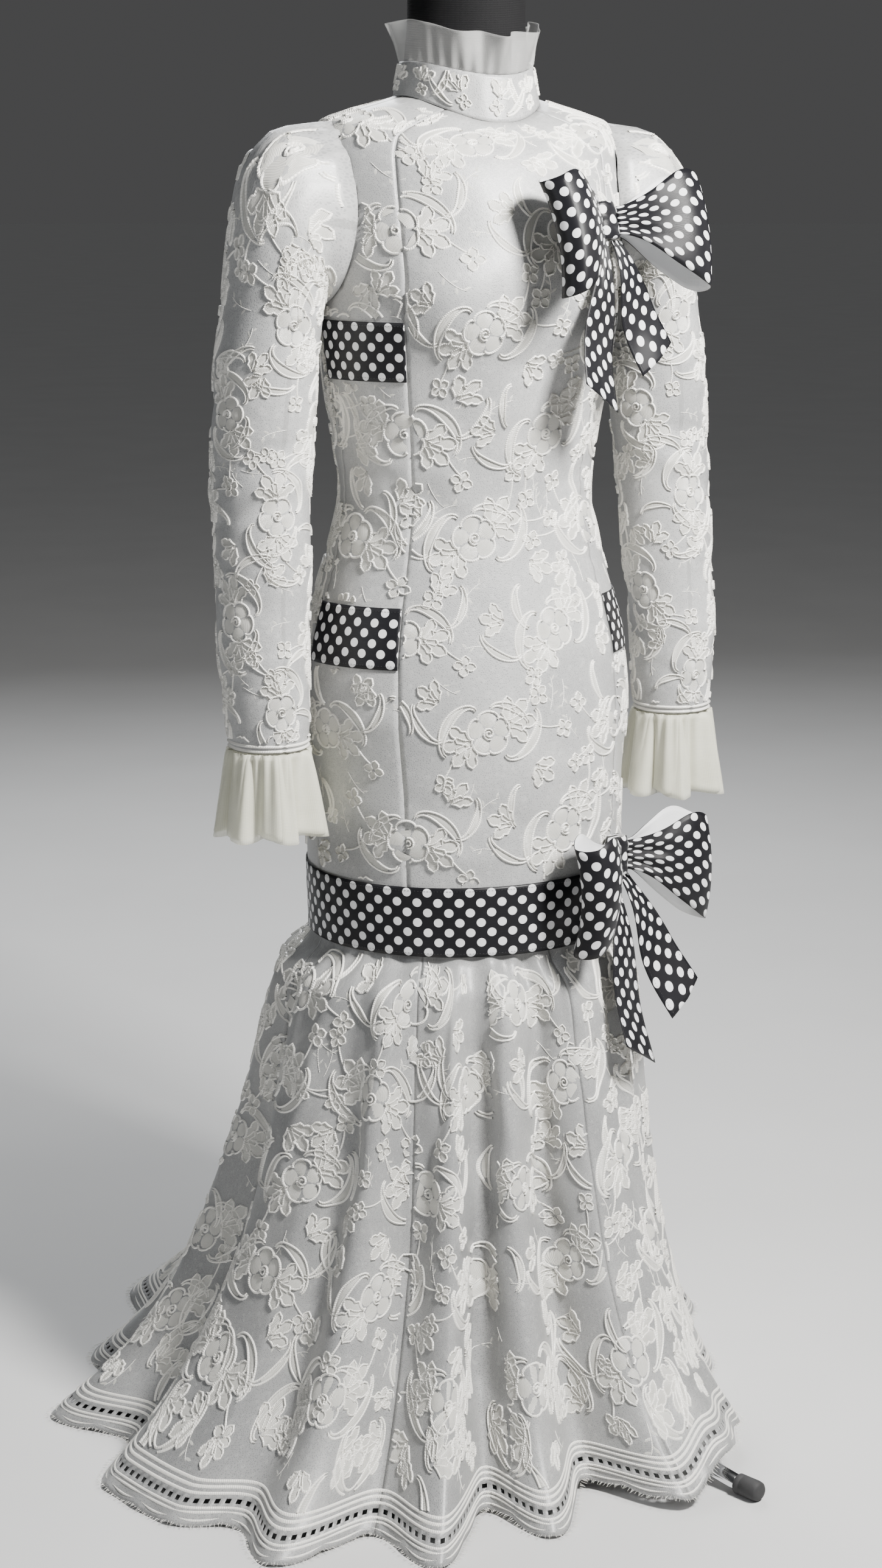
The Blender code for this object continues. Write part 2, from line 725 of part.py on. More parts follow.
def bow_frame(bow, faces):
    """Across, out and up directions of a bow's piece that faces one way, and the knot's place.

    The bow leans back as the cloth behind its knot does.
    """
    row = section_at(bow["height"])
    lean = math.asin(body_normal(bow["angle"], row).z)
    level = direction(faces)
    across = Vector((-level.y, level.x, 0.0))
    out = level * math.cos(lean) + Vector((0.0, 0.0, math.sin(lean)))
    up = across.cross(out) * -1.0
    return across, out, up, body_moved(bow["angle"], row, bow["off"])


def loop_start(bow, faces, side, depth):
    """How far from the knot's middle a loop's layer meets the knot, at a depth off the cloth."""
    turn = math.radians(bow["faces"] - faces) * side
    reach = 0.010
    while reach < 0.030:
        across = reach * math.cos(turn) - depth * math.sin(turn)
        out = depth * math.cos(turn) + reach * math.sin(turn)
        if (across / KNOT["wide"]) ** 2 + ((out - KNOT["middle"]) / KNOT["deep"]) ** 2 > 1.09:
            break
        reach += 0.0001
    return reach


def loop_path(bow, faces, side, less):
    """Path of a loop in plan: out along the back, round the end, and back along the front."""
    reach, bulge = bow["reach"], bow["bulge"]
    starts = [loop_start(bow, faces, side, depth) for depth in KNOT["layers"]]
    back = [(starts[0], KNOT["layers"][0]), (reach * 0.45, 0.0005), (reach * 0.85, 0.002)]
    turn = [(reach * 0.985, bulge * 0.22), (reach, bulge * 0.5), (reach * 0.95, bulge * 0.86)]
    front = [(reach * 0.78, bulge * 1.0), (reach * 0.50, bulge * 0.86),
             (starts[1], KNOT["layers"][1])]
    points = [Vector((x, y, 0.0)) for x, y in back + turn + front]
    moved = []
    for k, point in enumerate(points):
        before, after = points[max(k - 1, 0)], points[min(k + 1, len(points) - 1)]
        along = (after - before).normalized()
        moved.append(point + Vector((-along.y, along.x, 0.0)) * less)
    return moved


def make_bow(title, bow, parent):
    for side, word, faces in ((-1, "right", bow["loops"][0]), (1, "left", bow["loops"][1])):
        across, out, up, at = bow_frame(bow, faces)
        grids = []
        for less in (0.0, RIBBON_WALL):
            path = loop_path(bow, faces, side, less)
            grid = []
            for edge in (1, 0, -1):
                line = []
                for point in path:
                    share = ease((point.x - 0.012) / (bow["reach"] * 0.8))
                    half = mix(bow["knot"] * 0.75, bow["half"], share)
                    fall = -bow["droop"] * (point.x / bow["reach"]) ** 2
                    belly = 0.003 * share if edge == 0 else 0.0
                    place = at + across * side * point.x + out * (point.y + belly)
                    line.append(place + up * (edge * half + fall))
                grid.append(line)
            grids.append(grid)
        wall("%s_loop_%s" % (title, word), grids[0], grids[1], "ribbon", parent)
    make_knot(title + "_knot", bow, parent)
    make_tails(title, bow, parent)


def make_knot(name, bow, parent):
    """Soft rounded band that gathers the two loops."""
    across, out, up, at = bow_frame(bow, bow["faces"])
    mesh = bmesh.new()
    rings = []
    for level, swell in KNOT_RINGS:
        ring = []
        for k in range(KNOT_SIDES):
            turn = math.tau * k / KNOT_SIDES
            x = KNOT["wide"] * swell * math.cos(turn)
            y = KNOT["middle"] + KNOT["deep"] * swell * math.sin(turn)
            ring.append(mesh.verts.new(at + across * x + out * y + up * level * bow["knot"]))
        rings.append(ring)
    close_rings(mesh, rings)
    add_object(name, mesh, "ribbon", parent)


def make_tails(title, bow, parent):
    """Two flat tails that hang from below the knot, cut on the slant."""
    across, out, up, at = bow_frame(bow, bow["faces"])
    root = at - up * (bow["knot"] + SEAM_GAP) + out * TAIL["off"]
    level = direction(bow["faces"])
    levels = 7
    for side, word in ((-1, "right"), (1, "left")):
        length = bow["tail"] * (1.0 if side < 0 else TAIL["left_share"])
        grids = []
        for less in (0.0, RIBBON_WALL):
            grid = []
            for i in range(levels):
                share = i / (levels - 1)
                middle = side * mix(TAIL["near"], TAIL["far"], share)
                half = mix(TAIL["half"], bow["tail_half"], ease(share * 1.6))
                sway = TAIL["wave"] * (1 + math.sin(2.2 * math.pi * share)) + bow["lean"] * share
                line = []
                for edge in (-1, 0, 1):
                    slant = TAIL["slant"] * side * edge * share
                    fold = TAIL["fold"] * share if edge == 0 else 0.0
                    place = root + across * (middle + edge * half)
                    place.z += slant - length * share
                    line.append(place + level * (sway + fold - less))
                grid.append(line)
            grids.append(grid)
        wall("%s_tail_%s" % (title, word), grids[0], grids[1], "ribbon", parent)


def make_form(parent):
    """Closed black torso inside the cloth, up to the neck block."""
    mesh = bmesh.new()
    first = section_row("thigh")
    away = -(WALL + FORM_CLEARANCE)
    angles = []
    for _, start, end, columns in PANELS:
        angles += panel_angles(start, end, columns)[:-1]
    rings = []
    for row in range(first, len(BODY) - 1):
        rings.append([body_moved(angle, row, away) for angle in angles])
    rings.append([body_moved(angle, len(BODY) - 1, -NECK_CLEARANCE) for angle in angles])
    for height_front, height_back, half, depth in NECK_RINGS:
        ring = []
        for angle in angles:
            turn = math.radians(angle)
            across, ahead = math.sin(turn), math.cos(turn)
            end = height_front if ahead > 0 else height_back
            height = height_back * across ** 2 + end * ahead ** 2
            ring.append(Vector((half * across, -depth * ahead, height)))
        rings.append(ring)
    close_rings(mesh, [[mesh.verts.new(point) for point in ring] for ring in rings])
    add_object("form_torso", mesh, "jersey", parent)


def leg_tube(name, angle, start, end, radius, look, parent, heights):
    """Straight closed tube away from the hub; heights are the axis at both ends."""
    mesh = bmesh.new()
    away = direction(angle)
    beside = Vector((-away.y, away.x, 0.0))
    rings = []
    for reach, height in ((start, heights[0]), (end, heights[1])):
        ring = []
        for k in range(TUBE_SIDES):
            turn = math.tau * (k + 0.5) / TUBE_SIDES
            lift = Vector((0.0, 0.0, height + radius * math.sin(turn)))
            ring.append(mesh.verts.new(away * reach + beside * radius * math.cos(turn) + lift))
        rings.append(ring)
    close_rings(mesh, rings)
    add_object(name, mesh, look, parent)


def make_stand(parent):
    lathe("stand_column", [(COLUMN_RADIUS, HUB["top"] + SEAM_GAP),
                           (COLUMN_RADIUS, FORM_BOTTOM - SEAM_GAP)], "chrome", parent)
    facet = math.pi / TUBE_SIDES
    flat_faces_legs = math.radians(LEG_ANGLES[0]) - math.pi / 2 + facet
    lathe("stand_hub", [(HUB["radius"], HUB["low"]), (HUB["radius"], HUB["top"] - 0.008),
                        (HUB["radius"] * 0.7, HUB["top"])], "chrome", parent, flat_faces_legs)
    leg_start = HUB["radius"] * math.cos(facet) + SEAM_GAP
    flat = FOOT["radius"] * math.cos(math.pi / TUBE_SIDES)
    for number, angle in enumerate(LEG_ANGLES, 1):
        leg_tube("stand_leg_%d" % number, angle, leg_start, LEG["end"], LEG["radius"],
                 "chrome", parent, (LEG["high"], flat))
        foot_start = LEG["end"] + SEAM_GAP
        leg_tube("stand_foot_%d" % number, angle, foot_start, foot_start + FOOT["length"],
                 FOOT["radius"], "rubber", parent, (flat, flat))


def centre_on_floor(parent):
    """Puts the frame's origin on the floor below the middle of the whole part."""
    lows, highs = [], []
    for thing in parent.children:
        if not thing.hide_render:
            corners = [Vector(corner) for corner in thing.bound_box]
            lows.append([min(corner[k] for corner in corners) for k in (0, 1)])
            highs.append([max(corner[k] for corner in corners) for k in (0, 1)])
    for k in (0, 1):
        low, high = min(row[k] for row in lows), max(row[k] for row in highs)
        parent.location[k] = -(low + high) / 2


def main():
    clear_scene()
    gown = bpy.data.objects.new("gown", None)
    bpy.context.scene.collection.objects.link(gown)
    make_panels(gown)
    make_sleeves(gown)
    make_cuff_frills(gown)
    make_collar(gown)
    make_collar_frill(gown)
    make_bands(gown)
    make_flounce(gown)
    make_bow("chest_bow", CHEST_BOW, gown)
    make_bow("knee_bow", KNEE_BOW, gown)
    make_form(gown)
    make_stand(gown)
    centre_on_floor(gown)


main()
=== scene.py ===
import math

import bmesh
import bpy
import numpy as np
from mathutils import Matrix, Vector


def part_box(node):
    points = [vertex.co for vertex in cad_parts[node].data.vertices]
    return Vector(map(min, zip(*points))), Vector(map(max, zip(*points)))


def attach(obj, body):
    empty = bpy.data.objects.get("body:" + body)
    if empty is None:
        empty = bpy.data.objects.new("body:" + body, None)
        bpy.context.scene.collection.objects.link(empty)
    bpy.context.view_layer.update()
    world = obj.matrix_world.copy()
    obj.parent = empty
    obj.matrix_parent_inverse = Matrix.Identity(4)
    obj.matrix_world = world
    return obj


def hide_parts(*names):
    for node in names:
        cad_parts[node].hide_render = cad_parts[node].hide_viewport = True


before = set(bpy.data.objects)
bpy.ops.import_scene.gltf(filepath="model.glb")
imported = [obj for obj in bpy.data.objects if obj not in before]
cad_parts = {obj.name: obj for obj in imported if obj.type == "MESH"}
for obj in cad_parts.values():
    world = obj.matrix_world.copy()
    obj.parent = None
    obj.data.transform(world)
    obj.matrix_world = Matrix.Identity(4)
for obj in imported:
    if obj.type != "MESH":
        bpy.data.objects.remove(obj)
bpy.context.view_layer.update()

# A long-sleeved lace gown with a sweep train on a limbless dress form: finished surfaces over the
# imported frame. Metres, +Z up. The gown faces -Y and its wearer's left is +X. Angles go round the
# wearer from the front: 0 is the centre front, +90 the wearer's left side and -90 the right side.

column_low, column_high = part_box("stand_column")
AXIS = np.array([(column_low[0] + column_high[0]) / 2, (column_low[1] + column_high[1]) / 2, 0.0])

# Sides of the wearer, by the sign of X
SIDES = ((-1, "right"), (1, "left"))

# Cloth
CLOTH = 0.0012
SEAM_GAP = 0.0003
FORM_INSIDE = 0.0021
SKIRT_HEM = 0.550
KNEE_BAND = (0.538, 0.612)
COLLAR_TOP = (1.432, 1.447)
COLLAR_HALF = (0.0675, 0.0725)
FRILL_HEIGHT = 0.041
FORM_BOTTOM = 0.700
NECK_TOP = 1.530
KNEE_RADIUS = 0.1643
FLOUNCE_INSET = 0.0006
RIBBON = 0.0010
BOW_RIBBON = 0.0009
ORGANZA = 0.0006
BUST_BAND = (1.130, 1.190)
HIP_BAND = (0.838, 0.900)
SEAM_HALF = 0.00003

# Sections of the bodice and skirt
BODY = np.array([
    # front  side   back   width  fore   aft
    (0.550, 0.550, 0.550, 0.171, 0.155, 0.158),
    (0.612, 0.612, 0.612, 0.173, 0.153, 0.159),
    (0.700, 0.700, 0.700, 0.176, 0.150, 0.158),
    (0.780, 0.780, 0.780, 0.182, 0.146, 0.156),
    (0.838, 0.838, 0.838, 0.179, 0.138, 0.150),
    (0.900, 0.900, 0.900, 0.165, 0.124, 0.136),
    (0.955, 0.955, 0.955, 0.149, 0.112, 0.119),
    (1.010, 1.010, 1.010, 0.140, 0.106, 0.105),
    (1.070, 1.070, 1.070, 0.146, 0.112, 0.107),
    (1.130, 1.130, 1.130, 0.156, 0.124, 0.114),
    (1.190, 1.190, 1.190, 0.163, 0.136, 0.120),
    (1.230, 1.230, 1.230, 0.165, 0.139, 0.122),
    (1.275, 1.275, 1.275, 0.168, 0.131, 0.121),
    (1.315, 1.318, 1.318, 0.168, 0.119, 0.118),
    (1.340, 1.357, 1.355, 0.167, 0.109, 0.112),
    (1.357, 1.386, 1.382, 0.158, 0.100, 0.104),
    (1.368, 1.396, 1.393, 0.132, 0.092, 0.097),
    (1.377, 1.404, 1.403, 0.103, 0.086, 0.090),
    (1.385, 1.412, 1.412, 0.0745, 0.080, 0.080),
])
FORM_NECK = [
    # front, back, half width, half depth
    (COLLAR_TOP[0], COLLAR_TOP[1], 0.0630, 0.0680),
    (1.478, 1.484, 0.0597, 0.0645),
    (1.505, 1.507, 0.0595, 0.0638),
    (NECK_TOP - 0.0035, NECK_TOP - 0.0035, 0.0598, 0.0638),
    (NECK_TOP - 0.0010, NECK_TOP - 0.0010, 0.0588, 0.0628),
    (NECK_TOP, NECK_TOP, 0.0555, 0.0595),
    (NECK_TOP - 0.0004, NECK_TOP - 0.0004, 0.0300, 0.0330),
]
BUST_CUP = dict(angle=27.0, height=1.205, proud=0.013, spread=19.0, rise=0.048)

# Panels of the princess cut, from one seam angle to the next, with the size of each flat piece
PANELS = [
    # name               start  end   flat width and length
    ("back_right", -180, -135, 0.150, 0.900),
    ("back_side_right", -135, -90, 0.145, 0.880),
    ("front_side_right", -90, -45, 0.145, 0.880),
    ("front_centre", -45, 45, 0.270, 0.880),
    ("front_side_left", 45, 90, 0.145, 0.880),
    ("back_side_left", 90, 135, 0.145, 0.880),
    ("back_left", 135, 180, 0.150, 0.900),
]
ARMHOLE = dict(height=1.2880, fore=-0.002, deep=0.0815, wide=0.056)

SLEEVE = np.array([
    # x      y       z      tilt  across  along
    (0.1900, -0.001, 1.294, 14, 0.0600, 0.0865),
    (0.2090, -0.002, 1.277, 36, 0.0620, 0.0700),
    (0.2165, -0.003, 1.241, 62, 0.0600, 0.0540),
    (0.2220, -0.003, 1.185, 82, 0.0575, 0.0505),
    (0.2300, -0.003, 1.130, 90, 0.0550, 0.0520),
    (0.2350, -0.005, 1.065, 90, 0.0520, 0.0520),
    (0.2380, -0.010, 1.000, 90, 0.0500, 0.0495),
    (0.2410, -0.016, 0.930, 90, 0.0490, 0.0485),
    (0.2430, -0.022, 0.860, 90, 0.0470, 0.0465),
    (0.2430, -0.027, 0.800, 90, 0.0450, 0.0440),
    (0.2420, -0.030, 0.757, 90, 0.0430, 0.0415),
])
SLEEVE_OFF = 0.0030
SLEEVE_LENGTH = 0.553
SLEEVE_HEAD = dict(clear=0.0018, lift=0.0105, peak=0.0034, lap=0.0075)
CUFF_FRILL = dict(flare=0.012, waves=7, depth=0.0070)
CUFF_LAYERS = [
    # name, length, inset, phase, flare, depth
    ("under", 0.08900, 0.0, 0.0, 0.90, 1.0),
    ("over", 0.08464, -0.0022, 0.9, 0.75, 0.8),
]
COLLAR_FRILL = dict(waves=11, depth=0.0050, flare=0.008)

# Flounce: spread at each height, and its hem as angle, radius, lift and the gore that starts
FLOUNCE_TUCK = 0.0018
FALL = np.array([
    # height spread
    (0.0000, 1.00),
    (0.0180, 0.935),
    (0.0360, 0.86),
    (0.0850, 0.69),
    (0.1550, 0.53),
    (0.2450, 0.39),
    (0.3450, 0.28),
    (0.4350, 0.20),
    (0.5000, 0.13),
    (0.5370, 0.00),
    (0.5497, 0.00),
])
HEM = [
    # angle   radius lift   gore
    (-180.0, 0.560, 0.000, "flounce_back_right"),
    (-165.0, 0.500, 0.000, None),
    (-150.0, 0.478, 0.000, None),
    (-137.0, 0.415, 0.000, "flounce_side_right"),
    (-123.0, 0.432, 0.000, None),
    (-113.0, 0.395, 0.000, None),
    (-103.0, 0.468, 0.000, None),
    (-91.0, 0.402, 0.000, "flounce_front_side_right"),
    (-79.0, 0.472, 0.000, None),
    (-67.0, 0.474, 0.000, None),
    (-58.5, 0.440, 0.000, None),
    (-50.0, 0.492, 0.000, None),
    (-40.0, 0.400, 0.000, "flounce_front"),
    (-30.0, 0.460, 0.000, None),
    (-23.0, 0.338, 0.004, None),
    (-14.0, 0.404, 0.000, None),
    (-3.0, 0.312, 0.010, None),
    (8.0, 0.405, 0.012, "flounce_front_side_left"),
    (18.0, 0.388, 0.036, None),
    (30.0, 0.350, 0.030, None),
    (43.0, 0.285, 0.006, None),
    (57.0, 0.272, 0.000, "flounce_side_left"),
    (71.0, 0.288, 0.000, None),
    (86.0, 0.272, 0.000, None),
    (101.0, 0.345, 0.000, None),
    (117.0, 0.345, 0.000, "flounce_back_left"),
    (135.0, 0.485, 0.000, None),
    (150.0, 0.470, 0.000, None),
    (165.0, 0.530, 0.000, None),
    (180.0, 0.560, 0.000, None),
]
# Hem border, heights above the edge
LADDER = (0.0186, 0.0222)
LADDER_PITCH = 0.011
SCALLOP = dict(pitch=0.052, depth=0.0040)
LASH_PITCH = 0.0021

CHEST_BOW = dict(angle=34.0, height=1.285, off=0.0030, faces=24.0, loops=(30.0, 6.0), reach=0.114,
                 half=0.042, knot=0.019, bulge=0.038, droop=0.016, tail=0.155, tail_half=0.025,
                 lean=0.027)
KNEE_BOW = dict(angle=39.0, height=0.624, off=0.0040, faces=30.0, loops=(38.0, 12.0), reach=0.116,
                half=0.050, knot=0.021, bulge=0.040, droop=0.026, tail=0.178, tail_half=0.028,
                lean=0.058)
KNOT = dict(wide=0.0172, deep=0.0112, middle=0.0085, layers=(0.0055, 0.0120))

HUB = dict(radius=0.034, low=0.040, top=0.082)
LEG = dict(radius=0.0085, start=0.0332, end=0.405, high=0.058)
FOOT_RADIUS = 0.0110
FOOT_CAP = [
    # along  share of the radius
    (0.0000, 0.90),
    (0.0012, 1.00),
    (0.0060, 1.00),
    (0.0068, 0.94),
    (0.0078, 0.94),
    (0.0086, 1.00),
    (0.0230, 1.00),
    (0.0275, 0.93),
    (0.0295, 0.76),
    (0.0300, 0.45),
]
COLUMN = dict(radius=0.0159, ring=0.0172, end=0.0145)
LEG_ANGLES = (17.6, 137.6, -102.4)


class Shade:
    """Socket of a shader node, or a number, on which sums can be written."""

    def __init__(self, tree, value):
        self.tree = tree
        self.value = value

    def node(self, kind, settings=(), out=0, **inputs):
        """Adds a node, sets it up first, then gives its sockets values or links."""
        made = self.tree.nodes.new(kind)
        for key, value in dict(settings).items():
            setattr(made, key, value)
        for key, value in inputs.items():
            socket = made.inputs[int(key[1:])] if key[1:].isdigit() else made.inputs[key.replace("_", " ")]
            if isinstance(value, Shade):
                self.tree.links.new(value.value, socket)
            else:
                socket.default_value = value
        return Shade(self.tree, made.outputs[out])

    def math(self, operation, *values):
        return self.node("ShaderNodeMath", dict(operation=operation),
                         **{"i%d" % k: value for k, value in enumerate(values)})

    def ramp(self, low, high, to_low=0.0, to_high=1.0):
        return self.node("ShaderNodeMapRange", dict(clamp=True, interpolation_type="SMOOTHSTEP"),
                         Value=self, From_Min=low, From_Max=high, To_Min=to_low, To_Max=to_high)

    def tint(self, dark, light):
        """Colour between two, by this factor."""
        return self.node("ShaderNodeMix", dict(data_type="RGBA"), out=2, Factor=self,
                         i6=(*dark, 1), i7=(*light, 1))

    def wave(self):
        """Ripple between 0 and 1."""
        return self.math("SINE", self) * 0.5 + 0.5

    def __add__(self, other):
        return self.math("ADD", self, other)

    def __sub__(self, other):
        return self.math("SUBTRACT", self, other)

    def __rsub__(self, other):
        return self.math("SUBTRACT", other, self)

    def __mul__(self, other):
        return self.math("MULTIPLY", self, other)

    def __truediv__(self, other):
        return self.math("DIVIDE", self, other)

    __radd__ = __add__
    __rmul__ = __mul__


def start_material(name):
    """New material, and its tree as a start for sums."""
    material = bpy.data.materials.new(name)
    material.use_nodes = True
    return material, Shade(material.node_tree, None)


def link(material, colour, roughness, bump=None, alpha=None, height=0.001, **constants):
    """Feeds what varies over a surface, sets its constant values and returns the material."""
    tree = material.node_tree
    shader = tree.nodes["Principled BSDF"]
    tree.links.new(colour.value, shader.inputs["Base Color"])
    tree.links.new(roughness.value, shader.inputs["Roughness"])
    if alpha is not None:
        tree.links.new(alpha.value, shader.inputs["Alpha"])
    if bump is not None:
        made = bump.node("ShaderNodeBump", Height=bump, Distance=height, Strength=1.0)
        tree.links.new(made.value, shader.inputs["Normal"])
    for title, value in constants.items():
        shader.inputs[title.replace("_", " ")].default_value = value
    return material


def cloth_uv(sheet):
    """The cloth's own flat coordinates in metres, as two numbers and as a vector."""
    where = sheet.node("ShaderNodeUVMap", dict(uv_map="cloth"))
    x = sheet.node("ShaderNodeSeparateXYZ", Vector=where)
    return x, Shade(x.tree, x.value.node.outputs[1]), where


def blotches(sheet, scale):
    """Uneven wear or weave, between 0 and 1, so many patches to a metre."""
    where = sheet.node("ShaderNodeTexCoord", out=3)
    return sheet.node("ShaderNodeTexNoise", Vector=where, Scale=scale, Detail=3.0, Roughness=0.55)


def net_lace(name="net over satin", light=(0.51, 0.51, 0.505), dark=(0.245, 0.25, 0.255)):
    """Satin ground seen through a fine net, with small woven sprigs between the corded flowers."""
    material, sheet = start_material(name)
    _, _, where = cloth_uv(sheet)
    net = sheet.node("ShaderNodeTexVoronoi", dict(feature="DISTANCE_TO_EDGE"), Vector=where,
                     Scale=520.0, Randomness=0.85)
    thread = net.ramp(0.10, 0.26, 1.0, 0.0)
    sprig = sheet.node("ShaderNodeTexVoronoi", dict(feature="SMOOTH_F1"), Vector=where,
                       Scale=135.0, Randomness=0.75)
    petals = sprig.ramp(0.18, 0.34, 1.0, 0.0)
    uneven = blotches(sheet, 9.0)
    tone = thread * 0.20 + petals * 0.10 + uneven * 0.56
    return link(material, tone.ramp(0.05, 0.85).tint(dark, light),
                0.30 + thread * 0.08 + uneven * 0.08, thread * 0.22 + petals * 0.10,
                height=0.00035, Coat_Weight=0.18, Coat_Roughness=0.30)


def satin_back():
    """Plain inner side of the cloth."""
    material, sheet = start_material("satin inside")
    x, _, _ = cloth_uv(sheet)
    weave = (x * 2400.0).wave()
    uneven = blotches(sheet, 7.0)
    tone = uneven * 0.8 + weave * 0.12
    return link(material, tone.tint((0.60, 0.60, 0.61), (0.84, 0.84, 0.84)),
                0.34 + uneven * 0.12, weave, height=0.0001, Sheen_Weight=0.25)


def cording():
    """Raised twisted cord."""
    material, sheet = start_material("silk cord")
    x, y, _ = cloth_uv(sheet)
    twist = (x * 2900.0 + y * 1700.0).wave()
    uneven = blotches(sheet, 40.0)
    tone = twist * 0.45 + uneven * 0.55
    return link(material, tone.tint((0.84, 0.82, 0.76), (0.99, 0.975, 0.93)), 0.24 + uneven * 0.12, twist,
                height=0.00025, Coat_Weight=0.35, Coat_Roughness=0.12)


def stitched_fill():
    """Petals and leaves filled with side by side stitches, greyed as painted shade between the cords."""
    material, sheet = start_material("satin stitch, painted shade")
    x, y, _ = cloth_uv(sheet)
    threads = (x * 5200.0 + y * 900.0).wave()
    uneven = blotches(sheet, 55.0)
    tone = threads * 0.35 + uneven * 0.65
    # The grey of this tint is painted shade between the raised cords; the thread lines and patches are the
    # stitches' own.
    return link(material, tone.tint((0.42, 0.415, 0.39), (0.76, 0.75, 0.70)),
                0.28 + threads * 0.10, threads, height=0.00022, Sheen_Weight=0.2)


def organza(name, light, dark, cover):
    """Sheer crisp plain weave."""
    material, sheet = start_material(name)
    x, y, _ = cloth_uv(sheet)
    warp = (x * 4200.0).wave()
    weft = (y * 4200.0).wave()
    uneven = blotches(sheet, 22.0)
    tone = uneven * 0.7 + warp * weft * 0.3
    return link(material, tone.tint(dark, light), 0.44 + uneven * 0.12,
                warp * 0.5 + weft * 0.5, cover + uneven * 0.16 + warp * weft * 0.06, height=0.00012,
                Sheen_Weight=0.3)


DOT_PITCH = 0.0215


def ribbon_across(share, width):
    """Place across a ribbon, from edge to edge, so that whole rows of dots fit on it."""
    rows = round(width / (DOT_PITCH / 2))
    return share * rows * DOT_PITCH / 2 - DOT_PITCH / 4


def dotted_satin():
    """Black satin with staggered white dots."""
    material, sheet = start_material("dotted ribbon")
    x, y, _ = cloth_uv(sheet)
    dot = None
    for shift in (0.0, 0.5):
        column, row = x / DOT_PITCH + shift, y / DOT_PITCH + shift
        across = column.math("FRACT", column) - 0.5
        along = row.math("FRACT", row) - 0.5
        square = across * across + along * along
        spot = square.math("SQRT", square).ramp(0.205, 0.225, 1.0, 0.0)
        dot = spot if dot is None else dot.math("MAXIMUM", dot, spot)
    rib = (y * 5200.0).wave()
    uneven = blotches(sheet, 18.0)
    ground = (uneven * 0.7 + rib * 0.3).tint((0.004, 0.004, 0.005), (0.014, 0.014, 0.017))
    paint = (uneven * 0.6 + rib * 0.3).tint((0.66, 0.67, 0.69), (0.90, 0.90, 0.90))
    colour = dot.node("ShaderNodeMix", dict(data_type="RGBA"), out=2, Factor=dot, i6=ground, i7=paint)
    return link(material, colour, 0.30 + uneven * 0.14 + dot * 0.12, rib * 0.6 + dot * 0.5,
                height=0.00012, Specular_IOR_Level=0.22)


def white_satin():
    """Plain white inner side of the dotted ribbon."""
    material, sheet = start_material("white ribbon back")
    _, y, _ = cloth_uv(sheet)
    rib = (y * 5200.0).wave()
    uneven = blotches(sheet, 14.0)
    tone = uneven * 0.7 + rib * 0.2
    return link(material, tone.tint((0.66, 0.67, 0.69), (0.90, 0.905, 0.91)),
                0.26 + uneven * 0.14, rib, height=0.0001, Sheen_Weight=0.25)


def black_thread():
    """Matt thread of the ribbons' stitches."""
    material, sheet = start_material("black sewing thread")
    uneven = blotches(sheet, 300.0)
    return link(material, uneven.tint((0.010, 0.010, 0.012), (0.05, 0.05, 0.055)),
                0.45 + uneven * 0.2)


def jersey():
    """Black knitted cover of the dress form."""
    material, sheet = start_material("black jersey")
    where = sheet.node("ShaderNodeTexCoord", out=3)
    x = sheet.node("ShaderNodeSeparateXYZ", Vector=where)
    z = Shade(x.tree, x.value.node.outputs[2])
    turn = x.math("ARCTAN2", Shade(x.tree, x.value.node.outputs[1]) - float(AXIS[1]), x - float(AXIS[0]))
    wale = (turn * 330.0).wave()
    course = (z * 3600.0 + wale * 1.4).wave()
    uneven = blotches(sheet, 16.0)
    tone = wale * course * 0.5 + uneven * 0.5
    return link(material, tone.tint((0.003, 0.003, 0.0035), (0.010, 0.010, 0.011)),
                0.74 + uneven * 0.16, wale * course, height=0.0003, Specular_IOR_Level=0.18)


def chrome():
    """Plated tube of the stand, a little smeared."""
    material, sheet = start_material("chrome tube")
    smear = blotches(sheet, 34.0)
    rub = blotches(sheet, 6.0)
    tone = smear * 0.5 + rub * 0.5
    return link(material, tone.tint((0.58, 0.59, 0.61), (0.86, 0.87, 0.89)),
                0.06 + smear * 0.16, smear, height=0.00004, Metallic=1.0)


def rubber():
    """Dusty moulded caps of the feet."""
    material, sheet = start_material("black rubber")
    grain = blotches(sheet, 700.0)
    dust = blotches(sheet, 30.0)
    tone = grain * 0.3 + dust * 0.7
    return link(material, tone.tint((0.010, 0.010, 0.011), (0.05, 0.05, 0.052)),
                0.58 + dust * 0.25, grain, height=0.00015)


LACE = net_lace()
SKIRT_LACE = net_lace("net over the flounce", (0.43, 0.43, 0.425), (0.18, 0.185, 0.19))
LINING = satin_back()
CORD = cording()
FILL = stitched_fill()
IVORY = organza("ivory organza", (0.93, 0.92, 0.80), (0.70, 0.70, 0.57), 0.40)
SHEER = organza("white organza", (0.93, 0.93, 0.91), (0.74, 0.745, 0.74), 0.10)
DOTS = dotted_satin()
RIBBON_BACK = white_satin()
THREAD = black_thread()
JERSEY = jersey()
CHROME = chrome()
RUBBER = rubber()


def linked(name, data):
    """New object in the scene."""
    thing = bpy.data.objects.new(name, data)
    bpy.context.scene.collection.objects.link(thing)
    return thing


def joined(*parts):
    """Points, or flat places, from their coordinates."""
    return np.stack(np.broadcast_arrays(*parts), axis=-1)


def ease(share):
    """Soft step from 0 to 1."""
    return 0.5 - 0.5 * np.cos(np.pi * np.clip(share, 0.0, 1.0))


def away(angle):
    """Unit vectors away from the axis."""
    turn = np.radians(np.asarray(angle, float))
    return joined(np.sin(turn), -np.cos(turn), 0.0)


def rim(angle, front, side, back):
    """Height of a round edge that is level at the sides and dips or rises in front and behind."""
    ahead = np.cos(np.radians(angle))
    return side * (1 - ahead ** 2) + np.where(ahead > 0, front, back) * ahead ** 2


